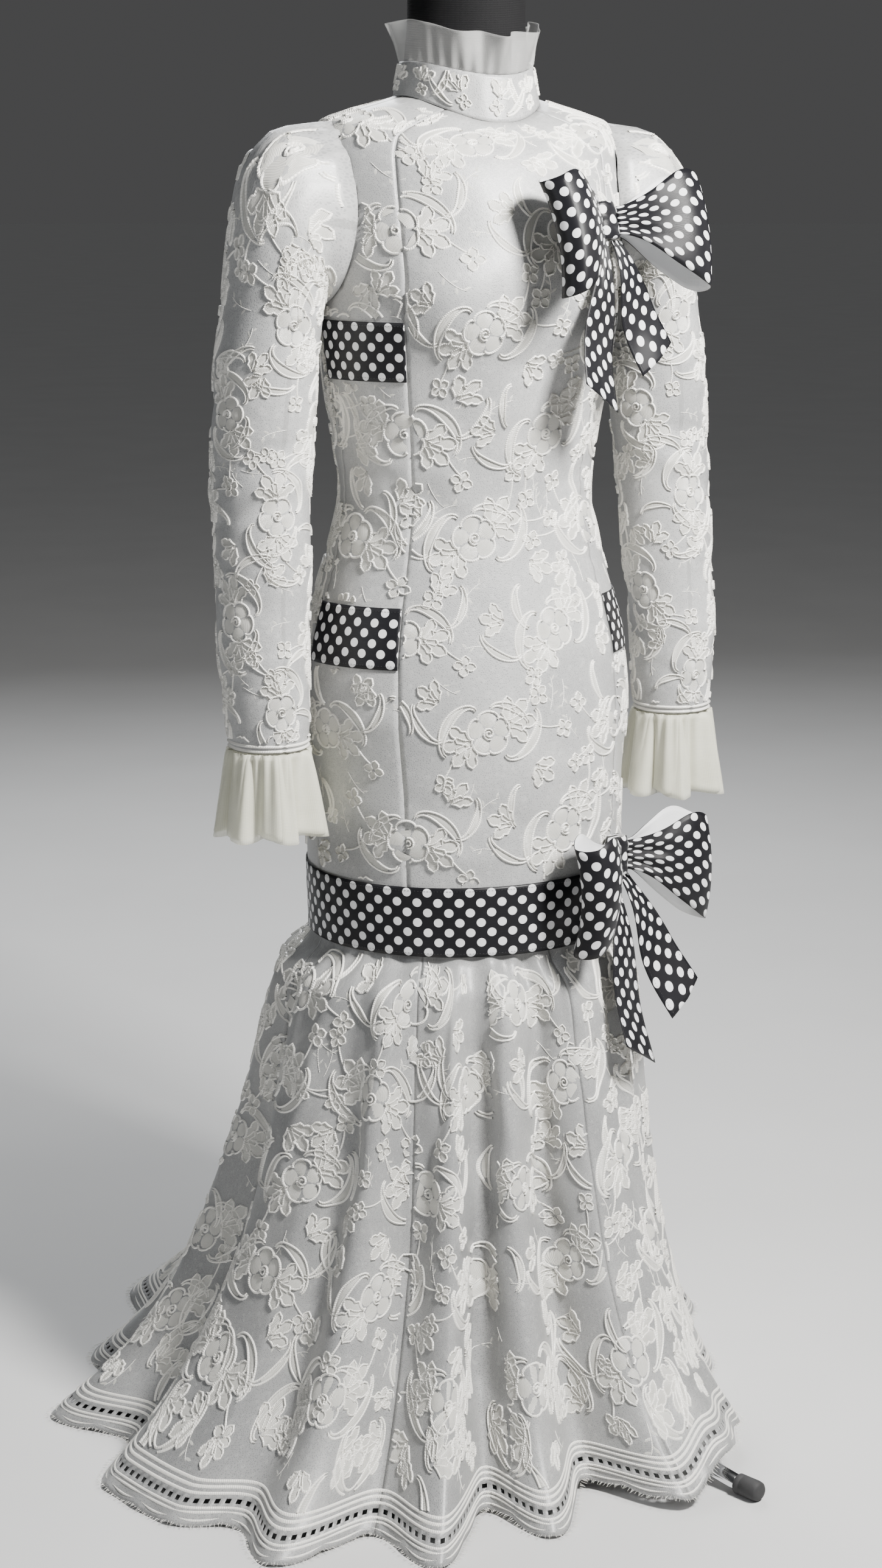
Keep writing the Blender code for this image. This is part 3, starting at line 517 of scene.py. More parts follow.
def oval(angle, width, fore, aft, height):
    """Points at angles round an oval of its own depth in front and behind."""
    turn = np.radians(angle)
    ahead = np.cos(turn)
    return joined(width * np.sin(turn), -np.where(ahead > 0, fore, aft) * ahead, height)


def unit(vectors):
    """The same directions, one long."""
    return vectors / np.maximum(np.linalg.norm(vectors, axis=-1, keepdims=True), 1e-12)


def lengths(line):
    """Length along a line at each of its points."""
    return np.concatenate([[0], np.cumsum(np.linalg.norm(np.diff(line, axis=0), axis=1))])


def through(places, values, at):
    """Smooth curve through rows of values that never swings past them; values are rows, then at."""
    places = np.asarray(places, float)
    step = np.diff(places).reshape((-1,) + (1,) * (values.ndim - 1))
    slope = np.diff(values, axis=0) / step
    tangent = np.zeros_like(values)
    total = slope[:-1] + slope[1:]
    total = np.where(np.abs(total) < 1e-12, 1e-12, total)
    tangent[1:-1] = np.where(slope[:-1] * slope[1:] > 0, 2 * slope[:-1] * slope[1:] / total, 0.0)
    tangent[0] = slope[0]
    tangent[-1] = slope[-1]
    k = np.clip(np.searchsorted(places, at, side="right") - 1, 0, len(places) - 2)
    width = places[k + 1] - places[k]
    t = (at - places[k]) / width
    own = np.arange(values.shape[1]) if values.shape[1] > 1 else np.zeros(len(at), int)
    p, q = values[k, own], values[k + 1, own]
    m, n = tangent[k, own], tangent[k + 1, own]
    if p.ndim > 1:
        t, width = t[:, None], width[:, None]
    return ((2 * t ** 3 - 3 * t ** 2 + 1) * p + (t ** 3 - 2 * t ** 2 + t) * width * m
            + (-2 * t ** 3 + 3 * t ** 2) * q + (t ** 3 - t ** 2) * width * n)


def body(angle, level):
    """Outer face of the bodice and skirt; level is the height at the side."""
    angle, level = np.broadcast_arrays(np.asarray(angle, float), np.asarray(level, float))
    shape = angle.shape
    angle, level = angle.ravel(), level.ravel()
    rows = through(BODY[:, 1], BODY[:, None, :], level)
    front, _, back, width, fore, aft = rows.T
    height = rim(angle, front, level, back)
    off_angle = (np.abs(angle) - BUST_CUP["angle"]) / BUST_CUP["spread"]
    off_height = (height - BUST_CUP["height"]) / BUST_CUP["rise"]
    cup = BUST_CUP["proud"] * np.exp(-off_angle ** 2 - off_height ** 2)
    points = oval(angle, width, fore, aft, height) + away(angle) * cup[:, None]
    return points.reshape(shape + (3,))


def normals(surface, a, b, step_a, step_b, outward=1.0):
    """Unit normals of a surface given as a function of two coordinates."""
    around = surface(a + step_a, b) - surface(a - step_a, b)
    up = surface(a, b + step_b) - surface(a, b - step_b)
    return unit(np.cross(around, up) * outward)


# Creases of the bodice and skirt as soft troughs and ridges, from one point to another
BODY_CREASES = [
    # angle  level  angle  level  width  depth
    (-52, 1.020, -20, 0.985, 0.010, -0.0022),
    (-60, 1.052, -28, 1.030, 0.011, 0.0018),
    (-35, 0.950, -5, 0.968, 0.009, -0.0014),
    (20, 1.012, 52, 1.040, 0.010, -0.0020),
    (28, 0.975, 58, 0.962, 0.011, 0.0016),
    (-75, 1.000, -58, 0.965, 0.009, -0.0017),
    (62, 0.995, 84, 0.972, 0.009, -0.0015),
    (-50, 0.655, -12, 0.640, 0.012, 0.0020),
    (-40, 0.700, 5, 0.672, 0.014, -0.0020),
    (5, 0.735, 48, 0.700, 0.015, 0.0017),
    (-80, 0.690, -48, 0.668, 0.012, -0.0018),
    (20, 0.655, 60, 0.645, 0.010, -0.0016),
    (-64, 0.790, -22, 0.760, 0.016, 0.0014),
    (-18, 1.150, 20, 1.146, 0.012, -0.0017),
    (-14, 1.098, 18, 1.090, 0.014, 0.0015),
    (-78, 1.225, -50, 1.195, 0.010, -0.0016),
    (50, 1.225, 76, 1.205, 0.010, -0.0014),
    (100, 1.010, 140, 0.985, 0.011, -0.0021),
    (108, 1.050, 150, 1.032, 0.012, 0.0017),
    (150, 0.975, 178, 0.992, 0.010, -0.0017),
    (-146, 1.012, -108, 1.030, 0.011, -0.0020),
    (-178, 0.952, -148, 0.972, 0.010, 0.0015),
    (115, 0.700, 160, 0.662, 0.014, -0.0020),
    (-160, 0.690, -112, 0.660, 0.014, -0.0019),
    (-176, 0.760, -128, 0.735, 0.016, 0.0016),
    (120, 1.260, 158, 1.230, 0.012, -0.0016),
    (-158, 1.250, -118, 1.272, 0.012, -0.0015),
]
SEAMS = [-180, -135, -90, -45, 45, 90, 135, 180]
# Metres of cloth for a degree round the body, an arm and the flounce
GIRTH_STEP = 0.0027
ARM_STEP = 0.0009
HEM_STEP = 0.0055


def troughs(table, a, b, step_a, step_b):
    """Depth of listed creases at points, in metres, with soft uneven ends."""
    total = np.zeros(np.broadcast(a, b).shape)
    for a0, b0, a1, b1, width, depth in table:
        x, y = (a - a0) * step_a, (b - b0) * step_b
        dx, dy = (a1 - a0) * step_a, (b1 - b0) * step_b
        long = math.hypot(dx, dy)
        along = (x * dx + y * dy) / long
        beside = (x * dy - y * dx) / long + 0.004 * np.sin(along * 60 + a0)
        fade = np.exp(-np.clip(-along, 0, None) ** 2 / 0.0003 - np.clip(along - long, 0, None) ** 2 / 0.0003)
        swell = 0.65 + 0.35 * np.sin(np.pi * np.clip(along / long, 0, 1))
        total = total + depth * fade * swell * np.exp(-(beside / width) ** 2)
    return total


def body_relief(angle, level):
    """Creases, seam dips and seam puckers of the body cloth."""
    relief = 1.2 * troughs(BODY_CREASES, angle, level, GIRTH_STEP, 1.0)
    relief = relief + 0.0006 * np.sin(level * 37 + angle * 0.07) * np.sin(angle * 0.11 + 1.3)
    for seam in SEAMS:
        off = np.abs(angle - seam) * GIRTH_STEP
        relief = relief - 0.0005 * np.exp(-(off / 0.0026) ** 2)
        waist = np.exp(-((level - 0.985) / 0.13) ** 2) + 0.45
        pucker = np.sin(level * 2 * np.pi / 0.0165 + 1.7 * np.sin(level * 90 + seam))
        relief = relief + 0.00055 * waist * pucker * np.exp(-(off / 0.013) ** 2)
    covered = ease((KNEE_BAND[1] + 0.012 - level) / 0.012)
    for low, high in (BUST_BAND, HIP_BAND):
        across = ease((np.abs(angle) - 40) / 5) * ease((95 - np.abs(angle)) / 5)
        within = ease((level - low + 0.010) / 0.010) * ease((high + 0.010 - level) / 0.010)
        covered = np.maximum(covered, across * within)
    return relief * (1 - covered)


def dressed_body(angle, level):
    """Body cloth with its creases."""
    facing = normals(body, angle, level, 0.5, 0.003)
    return body(angle, level) + facing * body_relief(angle, level)[..., None]


def armhole_oval(turn):
    """Places across and up of the sleeve head's edge in the armhole, seen from the side."""
    return (ARMHOLE["fore"] - (ARMHOLE["wide"] + SLEEVE_HEAD["clear"]) * np.cos(turn),
            ARMHOLE["height"] + (ARMHOLE["deep"] + SLEEVE_HEAD["clear"]) * np.sin(turn))


def head_edge():
    """How far out the sleeve head's edge lies on the bodice, at even turns."""
    angles, levels = np.meshgrid(np.linspace(45, 135, 240), np.linspace(1.17, 1.409, 260))
    cloud = body(angles, levels).reshape(-1, 3)
    turn = np.radians(np.linspace(0, 360, 241))
    top = np.clip(np.sin(turn), 0, 1)
    y, z = armhole_oval(turn)
    z = z + SLEEVE_HEAD["lift"] * top ** 2
    near = np.array([np.argmin((cloud[:, 1] - p) ** 2 + (cloud[:, 2] - q) ** 2) for p, q in zip(y, z)])
    off = cloud[near, 0] + SLEEVE_OFF - SLEEVE_HEAD["lap"] * top ** 3
    kernel = np.hanning(13) / np.hanning(13).sum()
    off = np.convolve(np.concatenate([off[-13:-1], off, off[1:13]]), kernel, mode="same")[12:-12]
    return np.degrees(turn), off


HEAD_EDGE = head_edge()


def sleeve_start(turn):
    """Where the left sleeve's head meets the armhole, lapped up onto the shoulder."""
    x = np.interp(turn % 360, *HEAD_EDGE)
    turn = np.radians(turn)
    top = np.clip(np.sin(turn), 0, 1)
    y, z = armhole_oval(turn)
    return joined(x, y, z + SLEEVE_HEAD["lift"] * top ** 2 + SLEEVE_HEAD["peak"] * top ** 3)


SLEEVE_RUN = np.array([0.0, 0.016, 0.034, 0.070, 0.125, 0.180, 0.245, 0.310, 0.380, 0.450, 0.510,
                       SLEEVE_LENGTH])


def sleeve(turn, run):
    """Outer face of the left sleeve: turn goes from the front over the top, run from the armhole."""
    turn, run = np.broadcast_arrays(np.asarray(turn, float), np.asarray(run, float))
    shape = turn.shape
    turn, run = turn.ravel(), run.ravel()
    rings = [sleeve_start(turn)]
    wide = np.radians(turn)
    for x, y, z, tilt, across, along in SLEEVE:
        lean = math.radians(tilt)
        ring = np.array([x, y, z]) + np.outer(across * np.cos(wide), [0.0, -1.0, 0.0])
        ring = ring + np.outer(along * np.sin(wide), [math.sin(lean), 0.0, math.cos(lean)])
        rings.append(ring)
    points = through(SLEEVE_RUN, np.array(rings), run)
    return points.reshape(shape + (3,))


# Creases of a sleeve: elbow, upper arm and wrist
SLEEVE_CREASES = [
    # turn  run    turn  run    width  depth
    (-30, 0.235, 60, 0.262, 0.009, -0.0032),
    (-50, 0.262, 20, 0.288, 0.010, 0.0030),
    (-10, 0.300, 80, 0.318, 0.009, -0.0028),
    (40, 0.180, 130, 0.205, 0.011, -0.0024),
    (150, 0.230, 240, 0.262, 0.010, -0.0030),
    (160, 0.290, 250, 0.300, 0.010, 0.0026),
    (-60, 0.150, 20, 0.120, 0.010, -0.0022),
    (20, 0.400, 95, 0.382, 0.011, -0.0022),
    (-35, 0.455, 45, 0.470, 0.010, 0.0024),
    (60, 0.480, 150, 0.498, 0.009, -0.0022),
    (170, 0.400, 240, 0.430, 0.011, -0.0024),
    (200, 0.120, 280, 0.150, 0.011, -0.0028),
    (-45, 0.505, 10, 0.520, 0.008, -0.0020),
    (100, 0.300, 150, 0.262, 0.010, 0.0022),
]


def sleeve_relief(turn, run):
    """Creases, gathers at the head and the dip at the wrist."""
    wrapped = (turn + 90) % 360 - 90
    relief = troughs(SLEEVE_CREASES, wrapped, run, ARM_STEP, 1.0)
    head = np.exp(-(run / 0.045) ** 2) * ease((np.sin(np.radians(turn)) - 0.25) / 0.5)
    relief = relief + 0.0020 * head * np.sin(np.radians(turn) * 19 + 1.6 * np.sin(np.radians(turn) * 4))
    wrist = np.exp(-((run - SLEEVE_LENGTH) / 0.020) ** 2)
    return relief - 0.0016 * wrist + 0.0008 * np.sin(run * 42 + np.radians(turn))


def sleeve_normals(turn, run):
    return normals(sleeve, turn, np.clip(run, 0.002, SLEEVE_LENGTH - 0.002), 1.5, 0.0015, -1.0)


def dressed_sleeve(turn, run):
    """Sleeve cloth with its creases."""
    return sleeve(turn, run) + sleeve_normals(turn, run) * sleeve_relief(turn, run)[..., None]


KNOTS = np.array([row[:3] for row in HEM])


def hem_at(angle):
    """Radius and lift of the hem."""
    angle = np.clip(angle, -180.0, 180.0)
    k = np.clip(np.searchsorted(KNOTS[:, 0], angle, side="right") - 1, 0, len(KNOTS) - 2)
    share = ease((angle - KNOTS[k, 0]) / (KNOTS[k + 1, 0] - KNOTS[k, 0]))
    return (KNOTS[k, 1] + (KNOTS[k + 1, 1] - KNOTS[k, 1]) * share,
            KNOTS[k, 2] + (KNOTS[k + 1, 2] - KNOTS[k, 2]) * share)


def flounce(angle, height):
    """Outer face of the flounce."""
    angle, height = np.broadcast_arrays(np.asarray(angle, float), np.asarray(height, float))
    shape = angle.shape
    angle, height = angle.ravel(), height.ravel()
    radius, lift = hem_at(angle)
    spread = through(FALL[:, 0], FALL[:, None, 1:], height)[:, 0]
    knee = body(angle, SKIRT_HEM)
    start = np.hypot(knee[:, 0], knee[:, 1]) - FLOUNCE_TUCK
    leaving = away(np.degrees(np.arctan2(knee[:, 0], -knee[:, 1])))
    blend = np.clip(spread * 3, 0, 1)[:, None]
    out = unit(leaving + (away(angle) - leaving) * blend)
    reach = start + (radius - start) * spread
    level = lift + height * (1.0 - lift / FALL[-1, 0])
    points = out * reach[:, None]
    points[:, 2] = level
    return points.reshape(shape + (3,))


# Soft creases down the flounce
FLOUNCE_CREASES = [
    # angle  height angle height width  depth
    (-30, 0.500, -38, 0.230, 0.010, -0.0045),
    (-14, 0.515, -16, 0.300, 0.011, 0.0040),
    (-20, 0.440, -23, 0.120, 0.012, -0.0060),
    (-2, 0.520, -3, 0.150, 0.011, -0.0070),
    (10, 0.505, 14, 0.260, 0.012, 0.0045),
    (24, 0.500, 27, 0.210, 0.012, -0.0045),
    (-52, 0.490, -58, 0.200, 0.013, -0.0045),
    (-68, 0.500, -75, 0.230, 0.013, 0.0040),
    (-88, 0.500, -91, 0.180, 0.013, -0.0050),
    (45, 0.500, 52, 0.200, 0.012, -0.0040),
    (66, 0.490, 70, 0.250, 0.013, 0.0035),
    (92, 0.500, 94, 0.200, 0.013, -0.0045),
    (122, 0.500, 124, 0.180, 0.014, -0.0045),
    (146, 0.500, 150, 0.150, 0.014, -0.0045),
    (170, 0.500, 172, 0.250, 0.014, 0.0040),
    (-112, 0.500, -113, 0.180, 0.014, -0.0045),
    (-150, 0.500, -150, 0.170, 0.014, -0.0045),
    (-168, 0.480, -166, 0.260, 0.014, 0.0035),
    (-128, 0.490, -124, 0.260, 0.013, 0.0035),
]


def flounce_relief(angle, height):
    """Creases, gathers below the knee band and dips at the seams."""
    relief = 1.3 * troughs(FLOUNCE_CREASES, angle, height, 0.0042, 1.0)
    gather = np.exp(-((height - 0.535) / 0.055) ** 2)
    relief = relief + 0.0016 * gather * np.sin(np.radians(angle) * 34 + 1.5 * np.sin(np.radians(angle) * 5))
    relief = relief + 0.0015 * np.sin(height * 21 + np.radians(angle) * 9) * ease(height / 0.1)
    seam = np.zeros_like(relief)
    for row in HEM:
        if row[3] and row[0] > -180:
            off = np.abs(angle - row[0]) * HEM_STEP
            seam = seam - 0.0008 * np.exp(-(off / 0.003) ** 2)
    return (relief + seam) * ease((height + 0.004) / 0.03)


def dressed_flounce(angle, height):
    """Flounce cloth with its creases, level where it meets the floor."""
    facing = normals(flounce, np.clip(angle, -179.2, 179.2), height, 0.4, 0.003)
    facing[..., 2] *= ease(height / 0.05)
    return flounce(angle, height) + facing * (flounce_relief(angle, height) - FLOUNCE_INSET)[..., None]


def scallop(along):
    """1 at each low tip of the hem's scallops and 0 between them."""
    return np.abs(np.sin(along * np.pi / SCALLOP["pitch"]))


def gores(arc, run):
    """Name of each gore and where it starts and ends along the hem."""
    rows = [row for row in HEM if row[3]]
    ends = np.interp([row[0] for row in rows] + [180.0], arc, run)
    return list(zip([row[3] for row in rows], ends, ends[1:]))


def settle(points):
    """Moves points onto the form's axis, none of them below the floor."""
    points = points + AXIS
    points[..., 2] = np.maximum(points[..., 2], 0.0)
    return points


def mesh_piece(name, points, faces, looks, uv=None, face_looks=None):
    """Piece from plain arrays; uv gives a flat place in metres for each point."""
    mesh = bpy.data.meshes.new(name)
    mesh.from_pydata([tuple(p) for p in points], [], [tuple(f) for f in faces])
    for look in looks:
        mesh.materials.append(look)
    if face_looks is not None:
        mesh.polygons.foreach_set("material_index", np.asarray(face_looks, np.int32))
    if uv is not None:
        layer = mesh.uv_layers.new(name="cloth")
        corner = np.empty(len(mesh.loops), np.int32)
        mesh.loops.foreach_get("vertex_index", corner)
        layer.data.foreach_set("uv", np.asarray(uv, float)[corner].astype(np.float32).ravel())
    mesh.polygons.foreach_set("use_smooth", np.ones(len(mesh.polygons), bool))
    mesh.update()
    thing = linked(name, mesh)
    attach(thing, "root")
    return thing


def grid_normals(points, closed):
    """Normals of a grid of points, rows from the top down and columns to the wearer's left."""
    if closed:
        around = np.roll(points, -1, axis=1) - np.roll(points, 1, axis=1)
    else:
        around = np.gradient(points, axis=1)
    up = -np.gradient(points, axis=0)
    return unit(np.cross(around, up))


def shell(name, points, flat, looks, thick=CLOTH, closed=False, keep=None, outward=1.0):
    """Thin cloth shell inside a grid of points, whose cells outside keep are cut away."""
    rows, columns = points.shape[:2]
    facing = grid_normals(points, closed) * outward
    inner = points - facing * thick
    count = rows * columns
    every = np.concatenate([points.reshape(-1, 3), inner.reshape(-1, 3)])
    wide = columns if closed else columns - 1
    if keep is None:
        keep = np.ones((rows - 1, wide), bool)
    i, j = np.nonzero(keep)
    n = (j + 1) % columns
    a, b, c, d = i * columns + j, i * columns + n, (i + 1) * columns + n, (i + 1) * columns + j
    front = joined(d, c, b, a)
    back = joined(a, b, c, d) + count
    padded = np.zeros((rows + 1, wide + 2), bool)
    padded[1:-1, 1:-1] = keep
    if closed:
        padded[1:-1, 0] = keep[:, -1]
        padded[1:-1, -1] = keep[:, 0]
    rims = []
    for shift, first, second in (((0, 1), a, b), ((2, 1), c, d), ((1, 0), d, a), ((1, 2), b, c)):
        open_edge = ~padded[i + shift[0], j + shift[1]]
        p, q = first[open_edge], second[open_edge]
        rims.append(joined(p, q, q + count, p + count))
    rim = np.concatenate(rims)
    if outward < 0:
        front, back, rim = front[:, ::-1], back[:, ::-1], rim[:, ::-1]
    faces = np.concatenate([front, back, rim])
    face_looks = np.concatenate([np.zeros(len(front)), np.full(len(back), len(looks) - 1),
                                 np.zeros(len(rim))]).astype(int)
    uv = np.concatenate([flat.reshape(-1, 2)] * 2)
    used = np.zeros(len(every), bool)
    used[faces.ravel()] = True
    renumber = np.cumsum(used) - 1
    return mesh_piece(name, settle(every[used]), renumber[faces], looks, uv[used], face_looks)


def from_armhole(points, wider):
    """How far points lie from the armhole's middle: 1 on an oval that much wider than it."""
    return np.hypot((points[..., 1] - ARMHOLE["fore"]) / (ARMHOLE["wide"] + wider),
                    (points[..., 2] - ARMHOLE["height"]) / (ARMHOLE["deep"] + wider))


def make_panels():
    """Seven panels of lace over satin, with the armholes cut out."""
    low, high = BODY[0, 1], BODY[-1, 1]
    levels = np.linspace(high, low, int(round((high - low) / 0.0062)) + 1)
    made = []
    for name, start, end, width, length in PANELS:
        gap = SEAM_HALF / GIRTH_STEP
        columns = int(round((end - start) * GIRTH_STEP / 0.0058))
        angles = np.linspace(start + gap, end - gap, columns + 1)
        a, b = np.meshgrid(angles, levels)
        points = dressed_body(a, b)
        keep = None
        if "side" in name:
            within = from_armhole(points, -0.0020)
            most = np.maximum.reduce([within[:-1, :-1], within[1:, :-1], within[:-1, 1:], within[1:, 1:]])
            keep = most > 1.0
            inside = within < 1.0
            near = np.maximum(within, 0.2)
            for axis, middle in ((1, ARMHOLE["fore"]), (2, ARMHOLE["height"])):
                moved = middle + (points[..., axis] - middle) / near
                points[..., axis] = np.where(inside, moved, points[..., axis])
        flat = joined(a * GIRTH_STEP, b)
        panel = shell("cloth_" + name, points, flat, [LACE, LINING], keep=keep)
        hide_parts(name)
        made.append((panel, name, width, length))
    return made


def make_sleeves():
    """Both sleeves, each in one piece from armhole to wrist."""
    made = []
    turns = np.linspace(0, 360, 61)[:-1]
    runs = np.linspace(0.0, SLEEVE_LENGTH, 92)
    a, b = np.meshgrid(turns, runs)
    for side, word in SIDES:
        points = dressed_sleeve(a, b) * np.array([side, 1, 1])
        flat = joined(a * ARM_STEP, b + 0.03 * side)
        piece = shell("cloth_sleeve_" + word, points, flat, [LACE, LINING], closed=True,
                      outward=float(side))
        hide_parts("sleeve_" + word)
        made.append(piece)
    return made


def frill_grid(centre, radii, length, flare, waves, depth, phase, fine):
    """Gathered frill below a round edge, as a grid from its gathered edge down."""
    turns = np.linspace(0, 2 * np.pi, fine, endpoint=False)
    shares = np.linspace(0.0, 1.0, 15)
    t, s = np.meshgrid(turns, shares)
    wave = np.cos(waves * t + 0.6 * np.sin(2 * t) + phase)
    small = np.cos(waves * 3 * t + 2.0 * np.sin(3 * t) + phase * 2)
    fold = depth * (1.45 * np.sqrt(s) * wave + 0.35 * small * (1 - 0.4 * s))
    swing = 0.05 * s * np.sin(waves * t + phase + 0.9)
    x = centre[0] + (radii[0] + flare * s + fold) * np.cos(t + swing)
    y = centre[1] + (radii[1] + flare * s + fold) * np.sin(t + swing)
    drop = length * s + 0.0022 * s * np.sin(waves * t + 1.1 + phase)
    return joined(x, y, centre[2] - drop), joined(t * 0.06, s * length)


def make_cuffs():
    """Two-layer ivory frill below each wrist."""
    x, y, z, _, across, along = SLEEVE[-1]
    for side, word in SIDES:
        for title, length, inset, phase, flare, depth in CUFF_LAYERS:
            points, flat = frill_grid(
                (side * x, y, z - 0.0006), (along - 0.0012 - inset, across - 0.0012 - inset), length,
                CUFF_FRILL["flare"] * flare, CUFF_FRILL["waves"], CUFF_FRILL["depth"] * depth,
                phase + side, 140)
            piece = shell("cuff_%s_%s" % (title, word), points, flat, [IVORY], thick=ORGANZA,
                          closed=True)
            if title == "under":
                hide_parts("cuff_frill_" + word)


def collar_top(angle):
    """Height of the collar's top edge, lower in front."""
    return rim(angle, COLLAR_TOP[0], COLLAR_TOP[1], COLLAR_TOP[1])


def collar(angle, share):
    """Stand collar from the neck seam to its top edge."""
    front, side, back, width, fore, aft = BODY[-1]
    base = rim(angle, front, side, back) + SEAM_GAP
    width, fore, aft = (size + (goal - size) * share for size, goal in
                        ((width, COLLAR_HALF[0]), (fore, COLLAR_HALF[1]), (aft, COLLAR_HALF[1])))
    return oval(angle, width, fore, aft, base + (collar_top(angle) - base) * share)


def make_collar():
    """Stand collar, a little rippled."""
    a, s = np.meshgrid(np.linspace(-180, 180, 97)[:-1], np.linspace(1.0, 0.0, 14))
    points = collar(a, s)
    ripple = 0.0007 * np.sin(np.radians(a) * 17) * np.sin(np.pi * s)
    points = points + away(a) * ripple[..., None]
    flat = joined(a * 0.0012, s * 0.04)
    band = shell("cloth_collar", points, flat, [LACE, LINING], closed=True)
    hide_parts("collar_band")


def make_collar_frill():
    """Gathered organza above the collar, in broad and small flutes."""
    a, s = np.meshgrid(np.linspace(-180, 180, 265)[:-1], np.linspace(1.0, 0.0, 14))
    turn = np.radians(a)
    wave = np.cos(COLLAR_FRILL["waves"] * turn + 0.9 * np.sin(3 * turn))
    small = np.cos(COLLAR_FRILL["waves"] * 3 * turn + 2 * np.sin(2 * turn))
    broad = np.cos(7 * turn + 1.4 * np.sin(2 * turn))
    fold = COLLAR_FRILL["depth"] * (s * (wave * 0.8 + broad * 1.3) + 0.25 * small * (1 - s))
    out = COLLAR_FRILL["flare"] * s + fold
    depth = COLLAR_HALF[1] + out
    edge = FRILL_HEIGHT * s * (1 - 0.05 * (1 + broad * 0.9 + wave * 0.4))
    points = oval(a, COLLAR_HALF[0] + out, depth, depth, collar_top(a) + SEAM_GAP + edge)
    flat = joined(a * 0.003, s * 0.04)
    frill = shell("cloth_collar_frill", points, flat, [SHEER], thick=ORGANZA, closed=True)
    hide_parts("collar_frill")


def make_flounce():
    """Seven gores with a cut ladder along the hem."""
    arc = np.linspace(-180, 180, 3601)
    run = lengths(flounce(arc, 0.02))
    heights = np.concatenate([np.linspace(0.5497, 0.040, 66), [0.036, 0.0325, 0.029, 0.0262],
                              [LADDER[1], LADDER[0]], [0.0150, 0.0115, 0.0080, 0.0040, 0.0003]])
    ladder = int(np.argmin(np.abs(heights - LADDER[1])))
    for name, first, last in gores(arc, run):
        cells = max(4, int(round((last - first) / (LADDER_PITCH / 2))))
        cells += cells % 2
        angles = np.interp(np.linspace(first, last, cells + 1), run, arc)
        gap = SEAM_HALF / HEM_STEP
        angles[0] += gap
        angles[-1] -= gap
        a, h = np.meshgrid(angles, heights)
        points = dressed_flounce(a, h)
        along = np.interp(a, arc, run)
        points[..., 2] += ease((0.018 - h) / 0.018) * SCALLOP["depth"] * (1 - scallop(along))
        keep = np.ones((len(heights) - 1, cells), bool)
        keep[ladder, 1::2] = False
        flat = joined(along, h * 1.2)
        piece = shell("cloth_" + name, points, flat, [SKIRT_LACE, LINING], keep=keep)
        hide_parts(name)
        round(last - first, 2)
        round(sheet_area(points), 3)
    return arc, run


def sheet_area(points):
    """Area of the cloth in a grid of points."""
    one = np.cross(points[1:, :-1] - points[:-1, :-1], points[:-1, 1:] - points[:-1, :-1])
    two = np.cross(points[1:, :-1] - points[1:, 1:], points[:-1, 1:] - points[1:, 1:])
    return float((np.linalg.norm(one, axis=-1) + np.linalg.norm(two, axis=-1)).sum() / 2)


def solid_of_rings(name, rings, look, replaced, flat=None):
    """Closed smooth solid from equal rings of points, bottom to top."""
    rings = np.asarray(rings, float)
    rows, columns = rings.shape[:2]
    j = np.arange(columns)
    n = (j + 1) % columns
    faces = []
    for i in range(rows - 1):
        a, b = i * columns, (i + 1) * columns
        faces += joined(a + j, a + n, b + n, b + j).tolist()
    faces.append(list(range(columns))[::-1])
    faces.append([(rows - 1) * columns + k for k in range(columns)])
    thing = mesh_piece(name, settle(rings.reshape(-1, 3)), faces, [look], flat, None)
    thing.data.set_sharp_from_angle(angle=math.radians(50))
    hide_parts(replaced)


def make_form():
    """Black torso up to the neck block, a little inside the cloth."""
    angles = np.linspace(-180, 180, 97)[:-1]
    rings = []
    for rise, inset in ((0.0, 0.030), (0.0008, 0.010), (0.006, FORM_INSIDE + 0.003)):
        rings.append(body(angles, FORM_BOTTOM + rise) - away(angles) * inset)
    for level in np.linspace(FORM_BOTTOM + 0.02, BODY[-2, 1], 64):
        facing = normals(body, angles, level, 0.5, 0.003)
        rings.append(body(angles, level) - facing * (FORM_INSIDE + 0.0030))
    rings.append(body(angles, BODY[-1, 1]) - away(angles) * 0.0065)
    for front, back, half, depth in FORM_NECK:
        rings.append(oval(angles, half, depth, depth, rim(angles, front, back, back)))
    solid_of_rings("dress_form", rings, JERSEY, "form_torso")


def turned(name, profile, look, replaced):
    """Turned solid on the stand's axis from (radius, height) pairs, bottom to top."""
    turn = np.linspace(0, 2 * np.pi, 48, endpoint=False)
    rings = [joined(r * np.cos(turn), r * np.sin(turn), z) for r, z in profile]
    solid_of_rings(name, rings, look, replaced)


def tube(name, angle, profile, look, replaced):
    """Round bar away from the hub from (reach, height, radius) rows."""
    out = away(angle)
    beside = np.array([-out[1], out[0], 0.0])
    turn = np.linspace(0, 2 * np.pi, 28, endpoint=False)
    rings = []
    for reach, height, radius in profile:
        ring = out * reach + np.outer(radius * np.cos(turn), beside)
        ring[:, 2] = height + radius * np.sin(turn)
        rings.append(ring)
    solid_of_rings(name, rings, look, replaced)


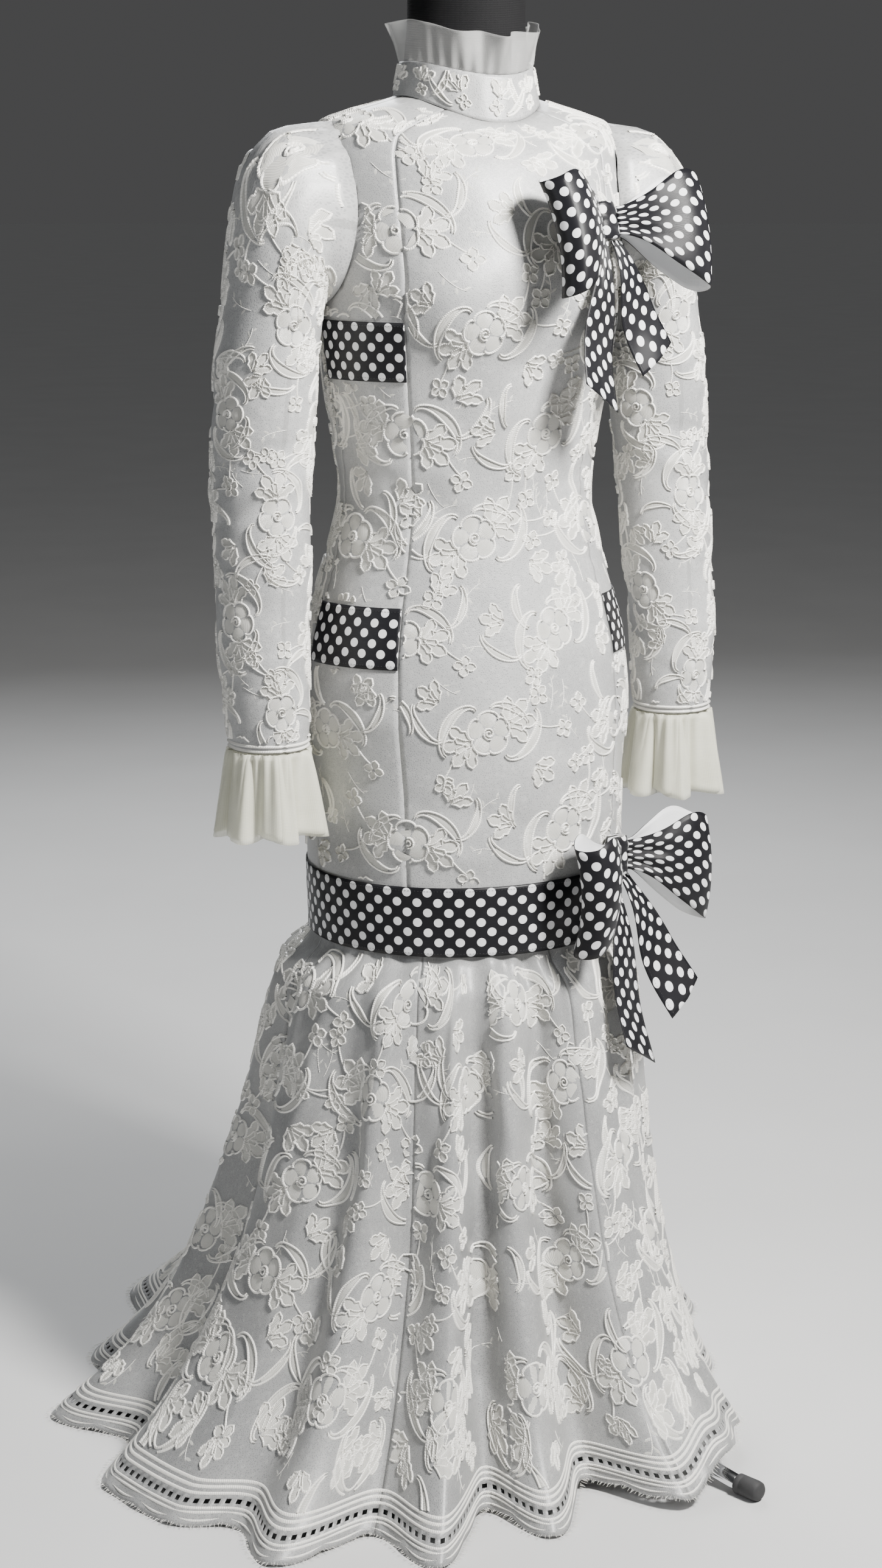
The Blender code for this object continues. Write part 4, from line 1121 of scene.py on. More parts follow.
def make_stand():
    """Column, hub and three legs with rubber caps."""
    r, low, top = HUB["radius"], HUB["low"], HUB["top"]
    bar, ring, end = COLUMN["radius"], COLUMN["ring"], COLUMN["end"]
    turned("column", [(end, top + 0.0004), (bar, top + 0.0016), (bar, 0.32), (ring, 0.3215), (ring, 0.334),
                      (bar, 0.3355), (bar, FORM_BOTTOM - 0.0018), (end, FORM_BOTTOM - 0.0004)],
           CHROME, "stand_column")
    turned("hub", [(r - 0.003, low), (r - 0.0008, low + 0.0012), (r, low + 0.004), (r, top - 0.012),
                   (r - 0.0015, top - 0.0095), (r * 0.78, top - 0.006), (r * 0.7, top - 0.0022),
                   (r * 0.66, top - 0.0002)], CHROME, "stand_hub")
    flat = FOOT_RADIUS * math.cos(math.pi / 12)
    start, end, high, radius = LEG["start"], LEG["end"], LEG["high"], LEG["radius"]
    for number, angle in enumerate(LEG_ANGLES, 1):
        rows = [(start, high, radius * 0.85), (start + 0.0015, high, radius)]
        for share in (0.25, 0.5, 0.75):
            rows.append((start + (end - start) * share, high + (flat - high) * share, radius))
        rows += [(end - 0.001, flat, radius), (end, flat, radius * 0.9)]
        tube("leg_%d" % number, angle, rows, CHROME, "stand_leg_%d" % number)
        begin, size = end + SEAM_GAP, FOOT_RADIUS - 0.0002
        cap = [(begin + along, flat, size * share) for along, share in FOOT_CAP]
        tube("foot_cap_%d" % number, angle, cap, RUBBER, "stand_foot_%d" % number)


STITCH_LINES = []


def keep_edges(points, facing):
    """Notes both long edges of a ribbon grid for the row of stitches along them."""
    for row in (1, -2):
        STITCH_LINES.append(settle(points[row] + facing[row] * 0.0002))


def make_side_bands():
    """Level dotted bands on the side fronts."""
    for title, (low, high) in (("bust_band", BUST_BAND), ("hip_band", HIP_BAND)):
        for word, start, end in (("right", -90, -45), ("left", 45, 90)):
            gap = SEAM_GAP / 2 / GIRTH_STEP
            angles = np.linspace(start + gap, end - gap, 40)
            levels = np.linspace(high, low, 17)
            a, b = np.meshgrid(angles, levels)
            facing = normals(body, a, b, 0.5, 0.003)
            soft = 0.0005 * np.sin(a * 0.9 + b * 150) * np.sin(np.pi * (b - low) / (high - low))
            points = body(a, b) + facing * (0.0019 + np.abs(soft))[..., None]
            flat = joined(a * GIRTH_STEP, ribbon_across((b - low) / (high - low), high - low))
            piece = shell("ribbon_%s_%s" % (title, word), points, flat, [DOTS, RIBBON_BACK],
                          thick=RIBBON)
            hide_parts("%s_%s" % (title, word))
            keep_edges(points, facing)


def make_knee_band():
    """Wide dotted band all round at the knee, over the seam of the flounce."""
    low, high = KNEE_BAND
    a, h = np.meshgrid(np.linspace(-180, 180, 241)[:-1], np.linspace(high, low, 21))
    level = np.clip(h, SKIRT_HEM, None)
    facing = normals(body, a, np.clip(level, SKIRT_HEM + 0.004, None), 0.5, 0.003)
    points = body(a, level)
    points[..., 2] = h
    turn = np.radians(a)
    share = (h - low) / (high - low)
    soft = 0.0011 * np.sin(turn * 9 + share * 5) * np.sin(turn * 4 + 1) * np.sin(np.pi * share)
    points = points + facing * (0.0020 + np.abs(soft))[..., None]
    flat = joined(turn * KNEE_RADIUS, ribbon_across(share, high - low))
    piece = shell("ribbon_knee_band", points, flat, [DOTS, RIBBON_BACK], thick=RIBBON,
                  closed=True)
    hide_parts("knee_band")
    keep_edges(np.concatenate([points, points[:, :1]], axis=1),
               np.concatenate([facing, facing[:, :1]], axis=1))


def bow_frame(bow, faces):
    """Across, out and up directions of a bow's piece, its level direction and the knot's place."""
    angle, level = np.array([bow["angle"]]), np.array([bow["height"]])
    facing = normals(body, angle, level, 0.4, 0.008)[0]
    lean = math.asin(facing[2])
    out = away(faces)
    across = np.array([-out[1], out[0], 0.0])
    leaning = out * math.cos(lean) + np.array([0.0, 0.0, math.sin(lean)])
    up = -np.cross(across, leaning)
    return across, leaning, up, out, body(angle, level)[0] + facing * bow["off"]


def loop_start(bow, faces, side, depth):
    """How far from the knot's middle a loop's layer meets the knot."""
    turn = math.radians(bow["faces"] - faces) * side
    reach = 0.010
    while reach < 0.030:
        across = reach * math.cos(turn) - depth * math.sin(turn)
        out = depth * math.cos(turn) + reach * math.sin(turn)
        if (across / KNOT["wide"]) ** 2 + ((out - KNOT["middle"]) / KNOT["deep"]) ** 2 > 1.09:
            break
        reach += 0.0001
    return reach


LOOP_FULLNESS = dict(chest_bow=1.38, knee_bow=1.15)


def make_loops(title, bow):
    """Two folded loops of ribbon, narrow and pleated at the knot."""
    broad = bow["half"] * LOOP_FULLNESS[title]
    for side, word, faces in ((-1, "right", bow["loops"][0]), (1, "left", bow["loops"][1])):
        across, out, up, _, at = bow_frame(bow, faces)
        reach, bulge = bow["reach"], bow["bulge"]
        starts = [loop_start(bow, faces, side, depth) for depth in KNOT["layers"]]
        plan = np.array([(starts[0] - 0.002, KNOT["layers"][0]), (reach * 0.45, 0.0005),
                         (reach * 0.85, 0.002), (reach * 0.985, bulge * 0.22), (reach, bulge * 0.5),
                         (reach * 0.95, bulge * 0.86), (reach * 0.78, bulge), (reach * 0.50, bulge * 0.86),
                         (starts[1] - 0.002, KNOT["layers"][1])])
        run = lengths(plan)
        along = np.linspace(0, run[-1], 60)
        path = through(run, plan[:, None, :], along)
        x, e = np.meshgrid(path[:, 0], np.linspace(1, -1, 19))
        y = path[:, 1]
        share = ease((x - 0.012) / (reach * 0.8))
        half = bow["knot"] * 0.75 + (broad - bow["knot"] * 0.75) * share
        fall = -bow["droop"] * (x / reach) ** 2
        back = np.where(along < run[-1] / 2, -1.0, 1.0)
        pleat = 0.0026 * np.exp(-((x - 0.016) / 0.034) ** 2) * np.cos(e * 8.5 + side) * back
        belly = 0.009 * share * (1 - e ** 2) + pleat * np.clip((x - 0.014) / 0.012, 0, 1)
        points = at + side * x[..., None] * across + (y + belly)[..., None] * out
        points = points + (e * half + fall + 0.0016 * np.sin(x * 95) * share)[..., None] * up
        flat = joined(along, ribbon_across((e + 1) / 2, 2 * broad))
        piece = shell("%s_loop_fold_%s" % (title, word), points, flat, [DOTS, RIBBON_BACK],
                      thick=BOW_RIBBON, outward=-float(side))
        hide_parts("%s_loop_%s" % (title, word))


def make_knot_and_tails(title, bow):
    """Pleated knot, and two slant-cut tails that hang from it."""
    across, out, up, level, at = bow_frame(bow, bow["faces"])
    turn = np.linspace(0, 2 * np.pi, 56, endpoint=False)
    rings = []
    for rise in np.linspace(-1, 1, 25):
        swell = np.interp(abs(rise), [0, 0.55, 0.9, 1.0], [0.95, 1.0, 0.93, 0.80])
        pleats = 1 + 0.035 * np.cos(rise * 9 + 2.0 * np.sin(turn * 2))
        x = KNOT["wide"] * swell * pleats * np.cos(turn)
        y = KNOT["middle"] + KNOT["deep"] * swell * pleats * np.sin(turn)
        rings.append(at + x[:, None] * across + y[:, None] * out + up * rise * bow["knot"])
    t, r = np.meshgrid(turn * 0.014, np.linspace(-1, 1, 25) * bow["knot"])
    solid_of_rings(title + "_centre", rings, DOTS, title + "_knot",
                   joined(t, r).reshape(-1, 2))
    root = at - up * (bow["knot"] + SEAM_GAP) + out * 0.006
    for side, word in SIDES:
        length = bow["tail"] * (1.0 if side < 0 else 0.78)
        share, e = np.meshgrid(np.linspace(0, 1, 46), np.linspace(-1, 1, 15), indexing="ij")
        middle = side * (0.011 + 0.036 * share)
        half = 0.0085 + (bow["tail_half"] - 0.0085) * ease(share * 1.6)
        sway = 0.0035 * np.sin(2.2 * np.pi * share) + 0.0035 + bow["lean"] * share
        slant = 0.016 * side * e * share
        fold = 0.0022 * share * (1 - np.abs(e)) + 0.0016 * np.cos(e * 7) * np.exp(-share * 5)
        fold = fold + 0.0026 * np.sin(share * 7 + e * 1.4 + side) * share * (1 - share * 0.4)
        points = root + (middle + e * half)[..., None] * across + (sway + fold)[..., None] * level
        points[..., 2] += slant - length * share
        flat = joined(share * length, ribbon_across((e + 1) / 2, 2 * bow["tail_half"]))
        piece = shell("%s_tail_end_%s" % (title, word), points, flat, [DOTS],
                      thick=BOW_RIBBON)
        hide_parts("%s_tail_%s" % (title, word))
        facing = grid_normals(points, False)
        keep_edges(points.transpose(1, 0, 2), facing.transpose(1, 0, 2))


class Repeat:
    """Geometry tree with named inputs that puts a small solid at every point."""

    def __init__(self, name, inputs):
        self.tree = bpy.data.node_groups.new(name, "GeometryNodeTree")
        face = self.tree.interface
        face.new_socket("Geometry", in_out="INPUT", socket_type="NodeSocketGeometry")
        self.keys = {}
        for title, (kind, value) in inputs.items():
            socket = face.new_socket(title, in_out="INPUT", socket_type="NodeSocket" + kind)
            if value is not None:
                socket.default_value = value
            self.keys[title] = socket.identifier
        face.new_socket("Geometry", in_out="OUTPUT", socket_type="NodeSocketGeometry")
        self.given = self.tree.nodes.new("NodeGroupInput").outputs

    def add(self, kind, settings=(), **links):
        made = self.tree.nodes.new(kind)
        for key, value in dict(settings).items():
            setattr(made, key, value)
        for key, value in links.items():
            socket = made.inputs[int(key[1:])] if key[1:].isdigit() else made.inputs[key.replace("_", " ")]
            if isinstance(value, bpy.types.NodeSocket):
                self.tree.links.new(value, socket)
            else:
                socket.default_value = value
        return made

    def scatter(self, points, piece, turn, x, y, z):
        """Places the solid with its size, makes it real and gives it its finish."""
        size = self.add("ShaderNodeCombineXYZ", X=x, Y=y, Z=z)
        placed = self.add("GeometryNodeInstanceOnPoints", Points=points, Instance=piece.outputs["Mesh"],
                          Rotation=turn.outputs[0], Scale=size.outputs[0])
        real = self.add("GeometryNodeRealizeInstances", Geometry=placed.outputs["Instances"])
        done = self.add("GeometryNodeSetMaterial", Geometry=real.outputs["Geometry"],
                        Material=self.given["Finish"])
        self.add("NodeGroupOutput", Geometry=done.outputs["Geometry"])

    def applied(self, thing, look, name, slot):
        """Runs the tree on an object and keeps its result as a plain mesh piece."""
        modifier = thing.modifiers.new("repeat", "NODES")
        modifier.node_group = self.tree
        modifier[self.keys["Finish"]] = look
        graph = bpy.context.evaluated_depsgraph_get()
        mesh = bpy.data.meshes.new_from_object(thing.evaluated_get(graph))
        thing.modifiers.clear()
        bpy.data.objects.remove(thing, do_unlink=True)
        mesh.name = name
        mesh.polygons.foreach_set("use_smooth", np.ones(len(mesh.polygons), bool))
        made = linked(name, mesh)
        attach(made, "root")
        return made


def stitch_tree():
    """Small rounded stitches at an even pitch along every line."""
    tree = Repeat("row of stitches", {
        "Pitch": ("Float", 0.0034),
        "Stitch length": ("Float", 0.0022),
        "Thread": ("Float", 0.0004),
        "Finish": ("Material", None),
    })
    line = tree.add("GeometryNodeMeshToCurve", Mesh=tree.given["Geometry"])
    spaced = tree.add("GeometryNodeResampleCurve", dict(mode="LENGTH"), Curve=line.outputs["Curve"],
                      Length=tree.given["Pitch"])
    tangent = tree.add("GeometryNodeInputTangent")
    turn = tree.add("FunctionNodeAlignRotationToVector", dict(axis="X"), Vector=tangent.outputs[0])
    stitch = tree.add("GeometryNodeMeshIcoSphere", Radius=0.5, Subdivisions=1)
    thread = tree.given["Thread"]
    tree.scatter(spaced.outputs["Curve"], stitch, turn, tree.given["Stitch length"], thread, thread)
    return tree


def lash_tree():
    """One thin tapering lash at every point, leaning the way that the point says."""
    tree = Repeat("eyelash fringe", {
        "Lash length": ("Float", 0.0070),
        "Thickness": ("Float", 0.00045),
        "Seed": ("Int", 7),
        "Finish": ("Material", None),
    })
    leaning = tree.add("GeometryNodeInputNamedAttribute", dict(data_type="FLOAT_VECTOR"), Name="lean")
    turn = tree.add("FunctionNodeAlignRotationToVector", dict(axis="Z"), Vector=leaning.outputs[0])
    uneven = tree.add("FunctionNodeRandomValue", dict(data_type="FLOAT"), Seed=tree.given["Seed"])
    low, high = [socket for socket in uneven.inputs if socket.type == "VALUE" and socket.enabled][:2]
    low.default_value, high.default_value = 0.72, 1.0
    share = [socket for socket in uneven.outputs if socket.enabled][0]
    long = tree.add("ShaderNodeMath", dict(operation="MULTIPLY"), i0=tree.given["Lash length"], i1=share)
    lash = tree.add("GeometryNodeMeshCone", Vertices=4, Radius_Top=0.12, Radius_Bottom=0.5, Depth=1.0)
    thick = tree.given["Thickness"]
    tree.scatter(tree.given["Geometry"], lash, turn, thick, thick, long.outputs[0])
    return tree


def make_stitches():
    """Stitches along the edges of the bands and tails."""
    points, edges = [], []
    for line in STITCH_LINES:
        edges += [(len(points) + k, len(points) + k + 1) for k in range(len(line) - 1)]
        points += [tuple(point) for point in line]
    mesh = bpy.data.meshes.new("ribbon")
    mesh.from_pydata(points, edges, [])
    stitch_tree().applied(linked("ribbon", mesh), THREAD, "stitches_ribbon", "ribbon")


def make_lashes(arc, run):
    """Eyelash fringe below the scalloped edge of each gore."""
    tree = lash_tree()
    for name, first, last in gores(arc, run):
        count = int((last - first) / LASH_PITCH)
        along = np.linspace(first + 0.001, last - 0.001, count)
        angles = np.interp(along, run, arc)
        points = dressed_flounce(angles, np.full(count, 0.0030))
        points[:, 2] += SCALLOP["depth"] * (1 - scallop(along))
        facing = normals(flounce, np.clip(angles, -179, 179), np.full(count, 0.02), 0.4, 0.004)
        facing = unit(facing * np.array([1, 1, 0]))
        lean = facing + np.array([0, 0, -0.22]) * np.clip(points[:, 2:3] / 0.004, 0, 1)
        side = joined(-facing[:, 1], facing[:, 0], 0.0)
        lean = unit(lean + side * (0.35 * np.sin(along * 700))[:, None])
        base = points + lean * 0.0032
        base[:, 2] = np.clip(base[:, 2], 0.0016, None)
        mesh = bpy.data.meshes.new("lash roots")
        mesh.from_pydata([tuple(p) for p in settle(base)], [], [])
        layer = mesh.attributes.new("lean", "FLOAT_VECTOR", "POINT")
        layer.data.foreach_set("vector", lean.astype(np.float32).ravel())
        made = tree.applied(linked("lash roots", mesh), CORD, "lashes_" + name[8:], "hem_lace")
        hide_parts(name.replace("flounce", "fringe"))


class Lacework:
    """Cords and filled petals drawn flat, then laid on one cloth and raised from it.

    A part is a grid of places on the cloth, how far each stands off it, its flat place and its look.
    """

    def __init__(self, surface, facing):
        self.surface = surface
        self.facing = facing
        self.parts = []

    def lay(self, shapes, centre, turn, scale, mirrored, steps, allowed):
        """Lays a drawing at a place on the cloth, without the parts that allowed leaves out."""
        self.parts += trimmed(laid(shapes, centre, turn, scale, mirrored, *steps), allowed)

    def build(self, name, slot, sides=1.0):
        sizes = [part[0].shape[:2] for part in self.parts]
        flat = np.concatenate([part[0].reshape(-1, 2) for part in self.parts])
        raised = np.concatenate([part[1].ravel() for part in self.parts])
        uv = np.concatenate([part[2].reshape(-1, 2) for part in self.parts])
        points = self.surface(flat[:, 0], flat[:, 1])
        points = (points + self.facing(flat[:, 0], flat[:, 1]) * raised[:, None]) * sides
        faces, looks, first = [], [], 0
        for (rows, columns), part in zip(sizes, self.parts):
            i, j = np.meshgrid(np.arange(rows - 1), np.arange(columns - 1), indexing="ij")
            a = first + i * columns + j
            quads = joined(a, a + 1, a + columns + 1, a + columns).reshape(-1, 4)
            faces.append(quads)
            looks.append(np.full(len(quads), part[3]))
            first += rows * columns
        faces = np.concatenate(faces)
        p = points[faces]
        normal = np.cross(p[:, 1] - p[:, 0], p[:, 2] - p[:, 0])
        middle = flat[faces].mean(axis=1)
        facing = self.facing(middle[:, 0], middle[:, 1]) * sides
        wrong = (normal * facing).sum(axis=1) < 0
        faces[wrong] = faces[wrong][:, ::-1]
        return mesh_piece(name, settle(points), faces, [CORD, FILL], uv, np.concatenate(looks))


def beside(line):
    """Directions to the left of a flat line."""
    along = unit(np.gradient(line, axis=0))
    return joined(-along[:, 1], along[:, 0])


def cord_grid(line, half, height):
    """Raised cord along a flat line: a rounded ridge, pinched at its ends."""
    pinch = np.ones((len(line), 1))
    pinch[0] = pinch[-1] = 0.35
    offsets = np.array([-1.0, 0.0, 1.0]) * half
    grid = line[:, None, :] + beside(line)[:, None, :] * (offsets * pinch)[..., None]
    raised = np.array([-0.0002, height, -0.0002]) * np.ones((len(line), 1))
    return grid, raised, joined(lengths(line)[:, None], offsets), 0


def edged(leaf, half=0.00095, height=0.0017):
    """A filled leaf with a cord laid round its edge."""
    grid = leaf[0]
    return [leaf, cord_grid(np.concatenate([grid[:, 0], grid[::-1, -1][1:]]), half, height)]


def fill_grid(base, heading, length, half, bend=0.0, lobes=0.0, blunt=0.7, height=0.0012, rows=6):
    """Filled petal or leaf from its base: broad in the middle, with a groove down it."""
    s, e = np.meshgrid(np.linspace(0, 1, rows), np.linspace(-1, 1, 3), indexing="ij")
    wide = np.sin(np.pi * np.clip(s * 0.94 + 0.05, 0, 1)) ** blunt * (1 + lobes * np.cos(s * 15.7))
    turn = heading + bend * s
    x = base[0] + length * s * np.cos(heading + bend * s * 0.5) - np.sin(turn) * e * half * wide
    y = base[1] + length * s * np.sin(heading + bend * s * 0.5) + np.cos(turn) * e * half * wide
    raised = height * (1 - e ** 2) ** 0.8 * (0.55 + 0.45 * np.sin(np.pi * s)) - 0.0004 * (e == 0)
    raised = raised - 0.0002 * (np.abs(e) == 1)
    uv = joined(s * length + e * e * 0.001, e * half)
    return joined(x, y), raised, uv, 1


def bent_line(start, heading, length, curl_from, curl_to, count, both=False):
    """Line that bends more and more, as a scroll does, at one end or at both ends."""
    s = np.linspace(0, 1, count)
    tighter = ((2 * s - 1) ** 5 + 1) / 10 if both else s ** 3 / 3
    curve = (curl_from * s + (curl_to - curl_from) * tighter) * length
    step = length / (count - 1)
    turn = heading + curve[:-1]
    steps = np.cumsum(joined(np.cos(turn), np.sin(turn)) * step, axis=0)
    return np.array(start) + np.concatenate([[[0, 0]], steps])


def ahead(x, y, heading, reach):
    """Flat place at a distance and heading from another."""
    return joined(x + reach * np.cos(heading), y + reach * np.sin(heading))


def rose(x, y, size):
    """Five rounded petals, corded round, with a coiled middle."""
    shapes = []
    for k in range(5):
        heading = math.tau * k / 5 + 0.3
        base = ahead(x, y, heading, size * 0.26)
        shapes.append(fill_grid(base, heading, size * 0.70, size * 0.44, blunt=0.5, height=0.0014))
        turn = np.linspace(-2.5, 2.5, 12)
        reach = size * (0.62 + 0.36 * np.cos(turn * 0.5))
        bend = heading + 0.62 * np.sin(turn * 0.72)
        shapes.append(cord_grid(ahead(x, y, bend, reach), 0.0013, 0.0022))
    turn = np.linspace(0, 3.6 * math.pi, 20)
    reach = size * (0.05 + 0.235 * turn / turn[-1])
    shapes.append(cord_grid(ahead(x, y, turn, reach), 0.0012, 0.0026))
    return shapes


def leaf_fan(x, y, heading, size, turns=(-1.05, -0.32, 0.42, 1.10)):
    """Lobed leaves that spread from one point."""
    shapes = []
    for turn in turns:
        share = 1.0 - 0.16 * abs(turn)
        shapes += edged(fill_grid((x, y), heading + turn, size * share, size * 0.235 * share,
                                  bend=0.22 * turn, lobes=0.26, blunt=0.55, height=0.0013, rows=8),
                        half=0.0011, height=0.0021)
    return shapes


def crescent(x, y, heading, length, hand, swell=0.0034):
    """Scroll curled in at both ends, of two cords with stitching between them."""
    count = 21 if length > 0.06 else 17
    line = bent_line((x, y), heading, length, 20.0 * hand, 165.0 * hand, count, both=True)
    open_up = np.sin(np.pi * np.linspace(0, 1, count))[:, None] ** 2
    aside = beside(line)
    shapes = [cord_grid(line + aside * side * (0.0012 + swell * open_up), 0.0012, 0.0021)
              for side in (-1, 1)]
    band = slice(4, count - 4)
    across = np.linspace(-1, 1, 3)
    grid = np.stack([(line + aside * e * swell * open_up)[band] for e in across], axis=1)
    raised = 0.0009 * (1 - across ** 2) * np.ones((len(grid), 1)) - 0.0001
    uv = joined(lengths(line[band])[:, None], across * swell)
    shapes.append((grid, raised, uv, 1))
    return shapes


def floret(x, y, size):
    """Small cross-shaped flower, corded round each petal."""
    shapes = []
    for k in range(4):
        heading = math.tau * k / 4 + 0.5
        base = ahead(x, y, heading, size * 0.10)
        shapes += edged(fill_grid(base, heading, size * 0.86, size * 0.36, blunt=0.5, height=0.0010, rows=5),
                        half=0.0009, height=0.0019)
    return shapes


def twig(x, y, heading, length, hand):
    """Thin embroidered stem with small leaves on both sides."""
    line = bent_line((x, y), heading, length, 12.0 * hand, 45.0 * hand, 10)
    shapes = [cord_grid(line, 0.0005, 0.0006)]
    for k, turn in ((2, 0.9), (4, -0.9), (6, 0.8), (8, -0.8)):
        tangent = line[k] - line[k - 1]
        shapes.append(fill_grid(line[k], math.atan2(tangent[1], tangent[0]) + turn, 0.0085, 0.0020,
                                height=0.0007, rows=4))
    return shapes


def stem(x, y, heading, length, curl):
    """Short cord that ties a small flower to its spray."""
    return [cord_grid(bent_line((x, y), heading, length, curl, curl, 8), 0.0010, 0.0016)]


def drawn(rows):
    """Shapes of a drawing from rows of a kind of motif and its place, heading and size."""
    return [shape for motif, *values in rows for shape in motif(*values)]


THREE = (-0.75, 0.0, 0.75)

# One repeat of the lace: a rose and leaf fans held by crescents, with florets and twigs
BOUQUET = drawn([
    (rose, 0.0, 0.0, 0.0235),
    (leaf_fan, 0.022, 0.008, 0.35, 0.034),
    (leaf_fan, -0.021, -0.009, 3.55, 0.032),
    (crescent, 0.016, -0.024, 5.35, 0.076, 1.0),
    (crescent, -0.012, 0.024, 2.25, 0.076, 1.0),
    (crescent, 0.004, 0.026, 0.70, 0.050, -1.0, 0.0022),
    (leaf_fan, 0.050, -0.040, 5.6, 0.026, THREE),
    (leaf_fan, -0.052, 0.036, 2.5, 0.026, THREE),
    (stem, -0.040, -0.024, 4.3, 0.024, -14.0),
    (floret, -0.053, -0.050, 0.0120),
    (stem, 0.046, 0.026, 1.1, 0.022, 12.0),
    (floret, 0.056, 0.053, 0.0120),
    (stem, 0.056, 0.002, 5.9, 0.028, 20.0),
    (floret, 0.088, -0.006, 0.0110),
    (crescent, -0.050, -0.004, 3.5, 0.056, -1.0, 0.0024),
    (crescent, 0.030, -0.058, 3.4, 0.050, 1.0, 0.0022),
    (twig, 0.072, 0.016, 1.2, 0.034, 1.0),
    (twig, -0.072, 0.014, 2.4, 0.034, 1.0),
    (twig, -0.020, -0.050, 4.4, 0.030, -1.0),
])
COLLAR_SPRAY = drawn([
    (leaf_fan, 0.0, 0.002, 1.57, 0.020, (-0.8, 0.0, 0.8)),
    (floret, 0.0, -0.009, 0.0080),
    (crescent, 0.012, -0.010, 0.3, 0.036, 1.0, 0.0018),
])
SHOULDER_SPRAY = drawn([
    (leaf_fan, 0.0, 0.006, 1.4, 0.032),
    (crescent, 0.006, -0.004, 5.0, 0.060, 1.0),
    (leaf_fan, -0.012, -0.010, 3.9, 0.026, THREE),
    (floret, 0.026, 0.030, 0.0115),
])
HEM_SCROLLS = drawn([
    (crescent, -0.046, -0.012, 0.15, 0.090, 1.0),
    (crescent, 0.052, 0.016, 3.30, 0.080, 1.0),
    (leaf_fan, -0.048, -0.004, 2.3, 0.034),
    (leaf_fan, 0.046, -0.004, 5.9, 0.032),
    (floret, 0.0, 0.036, 0.0125),
    (leaf_fan, 0.0, -0.014, 4.71, 0.022, (-0.8, 0.0, 0.8)),
])
HEM_CORDS = [
    # height  half    wave
    (0.0355, 0.0014, 0.0),
    (0.0310, 0.0014, 0.0),
    (0.0262, 0.0012, 0.0),
    (0.0152, 0.0012, 0.0),
    (0.0118, 0.0012, 0.0),
    (0.0066, 0.0010, 0.6),
]


def laid(shapes, centre, turn, scale, mirrored, step_a, step_b):
    """A drawing turned, sized and laid at a place on the cloth."""
    c, s = math.cos(turn) * scale, math.sin(turn) * scale
    out = []
    for flat, raised, uv, look in shapes:
        x = flat[..., 0] * (-1 if mirrored else 1)
        y = flat[..., 1]
        a = centre[0] + (x * c - y * s) / step_a
        b = centre[1] + (x * s + y * c) / step_b
        out.append((joined(a, b), raised, uv, look))
    return out


def lattice(a_low, a_high, b_low, b_high, step_a, step_b, seed, pitch_a=0.160, pitch_b=0.099):
    """Diagonal repeat of places with their turn, size and hand, slightly uneven."""
    rows = max(1, int(round((b_high - b_low) * step_b / pitch_b)))
    places = []
    noise = np.random.default_rng(seed)
    for j in range(rows):
        b = b_low + (j + 0.5) * (b_high - b_low) / rows
        columns = max(1, int(round((a_high - a_low) * step_a / pitch_a)))
        for k in range(columns):
            a = a_low + (k + 0.25 + 0.5 * (j % 2)) * (a_high - a_low) / columns
            jitter = noise.uniform(-1, 1, 4)
            places.append((a + jitter[0] * 0.007 / step_a, b + jitter[1] * 0.006 / step_b,
                           0.35 * jitter[2] + 0.25, 0.98 + 0.07 * jitter[3], (j + k) % 2 == 0))
    return places


def trimmed(shapes, allowed):
    """Leaves out the parts of a drawing that the cloth's edge or a trim covers."""
    kept = []
    for flat, raised, uv, look in shapes:
        good = allowed(flat[..., 0], flat[..., 1]).all(axis=1)
        changes = np.flatnonzero(np.diff(np.concatenate([[False], good, [False]])))
        for k, n in changes.reshape(-1, 2):
            if n - k >= 3:
                kept.append((flat[k:n], raised[k:n], uv[k:n], look))
    return kept


def body_open(angle, level):
    """Where lace shows on the body: clear of the armholes, seams, ribbons and bows."""
    side = (np.abs(np.abs(angle) - 90) < 52) & (level > 1.17)
    clear = ~(side & (from_armhole(body(angle, level), 0.003) < 1.0))
    clear &= (level > KNEE_BAND[1] + 0.002) & (level < 1.409)
    banded = (np.abs(angle) > 44) & (np.abs(angle) < 91)
    for low, high in (BUST_BAND, HIP_BAND):
        clear &= ~(banded & (level > low - 0.002) & (level < high + 0.002))
    for seam in SEAMS:
        clear &= np.abs(angle - seam) * GIRTH_STEP > 0.0007
    return clear


def make_body_lace():
    """Lace of the bodice, skirt and stand collar, measured up along the cloth."""
    levels = np.linspace(BODY[0, 1], BODY[-1, 1], 900)
    climb = lengths(body(50.0, levels)) + BODY[0, 1]

    def at(b):
        return np.interp(b, climb, levels)

    coats = [Lacework(lambda a, b: dressed_body(a, at(b)),
                      lambda a, b: normals(body, a, np.clip(at(b), 0.553, 1.4085), 0.5, 0.003))
             for _ in range(2)]
    for a, b, turn, scale, mirrored in lattice(-180, 180, 0.612, climb[-1] - 0.01, GIRTH_STEP, 1.0, 3):
        coat = coats[int(a > 0)]
        level = float(at(b))
        girth = float(np.linalg.norm(body(a + 1.0, level) - body(a - 1.0, level)) / 2)
        coat.lay(BOUQUET, (a, b), turn, scale, mirrored, (girth, 1.0), lambda p, q: body_open(p, at(q)))
    for coat, word in zip(coats, ("right", "left")):
        coat.build("lacework_body_" + word, "lace")
    stand = Lacework(collar, lambda a, b: away(a))
    for k in range(11):
        stand.lay(COLLAR_SPRAY, (-164 + 32.7 * k, 0.5), 0.5 * math.sin(k * 2.1), 1.0, k % 2 == 0,
                  (0.00125, 0.043), lambda p, q: (q > 0.04) & (q < 0.95) & (p > -179) & (p < 179))
    stand.build("lacework_collar", "lace")


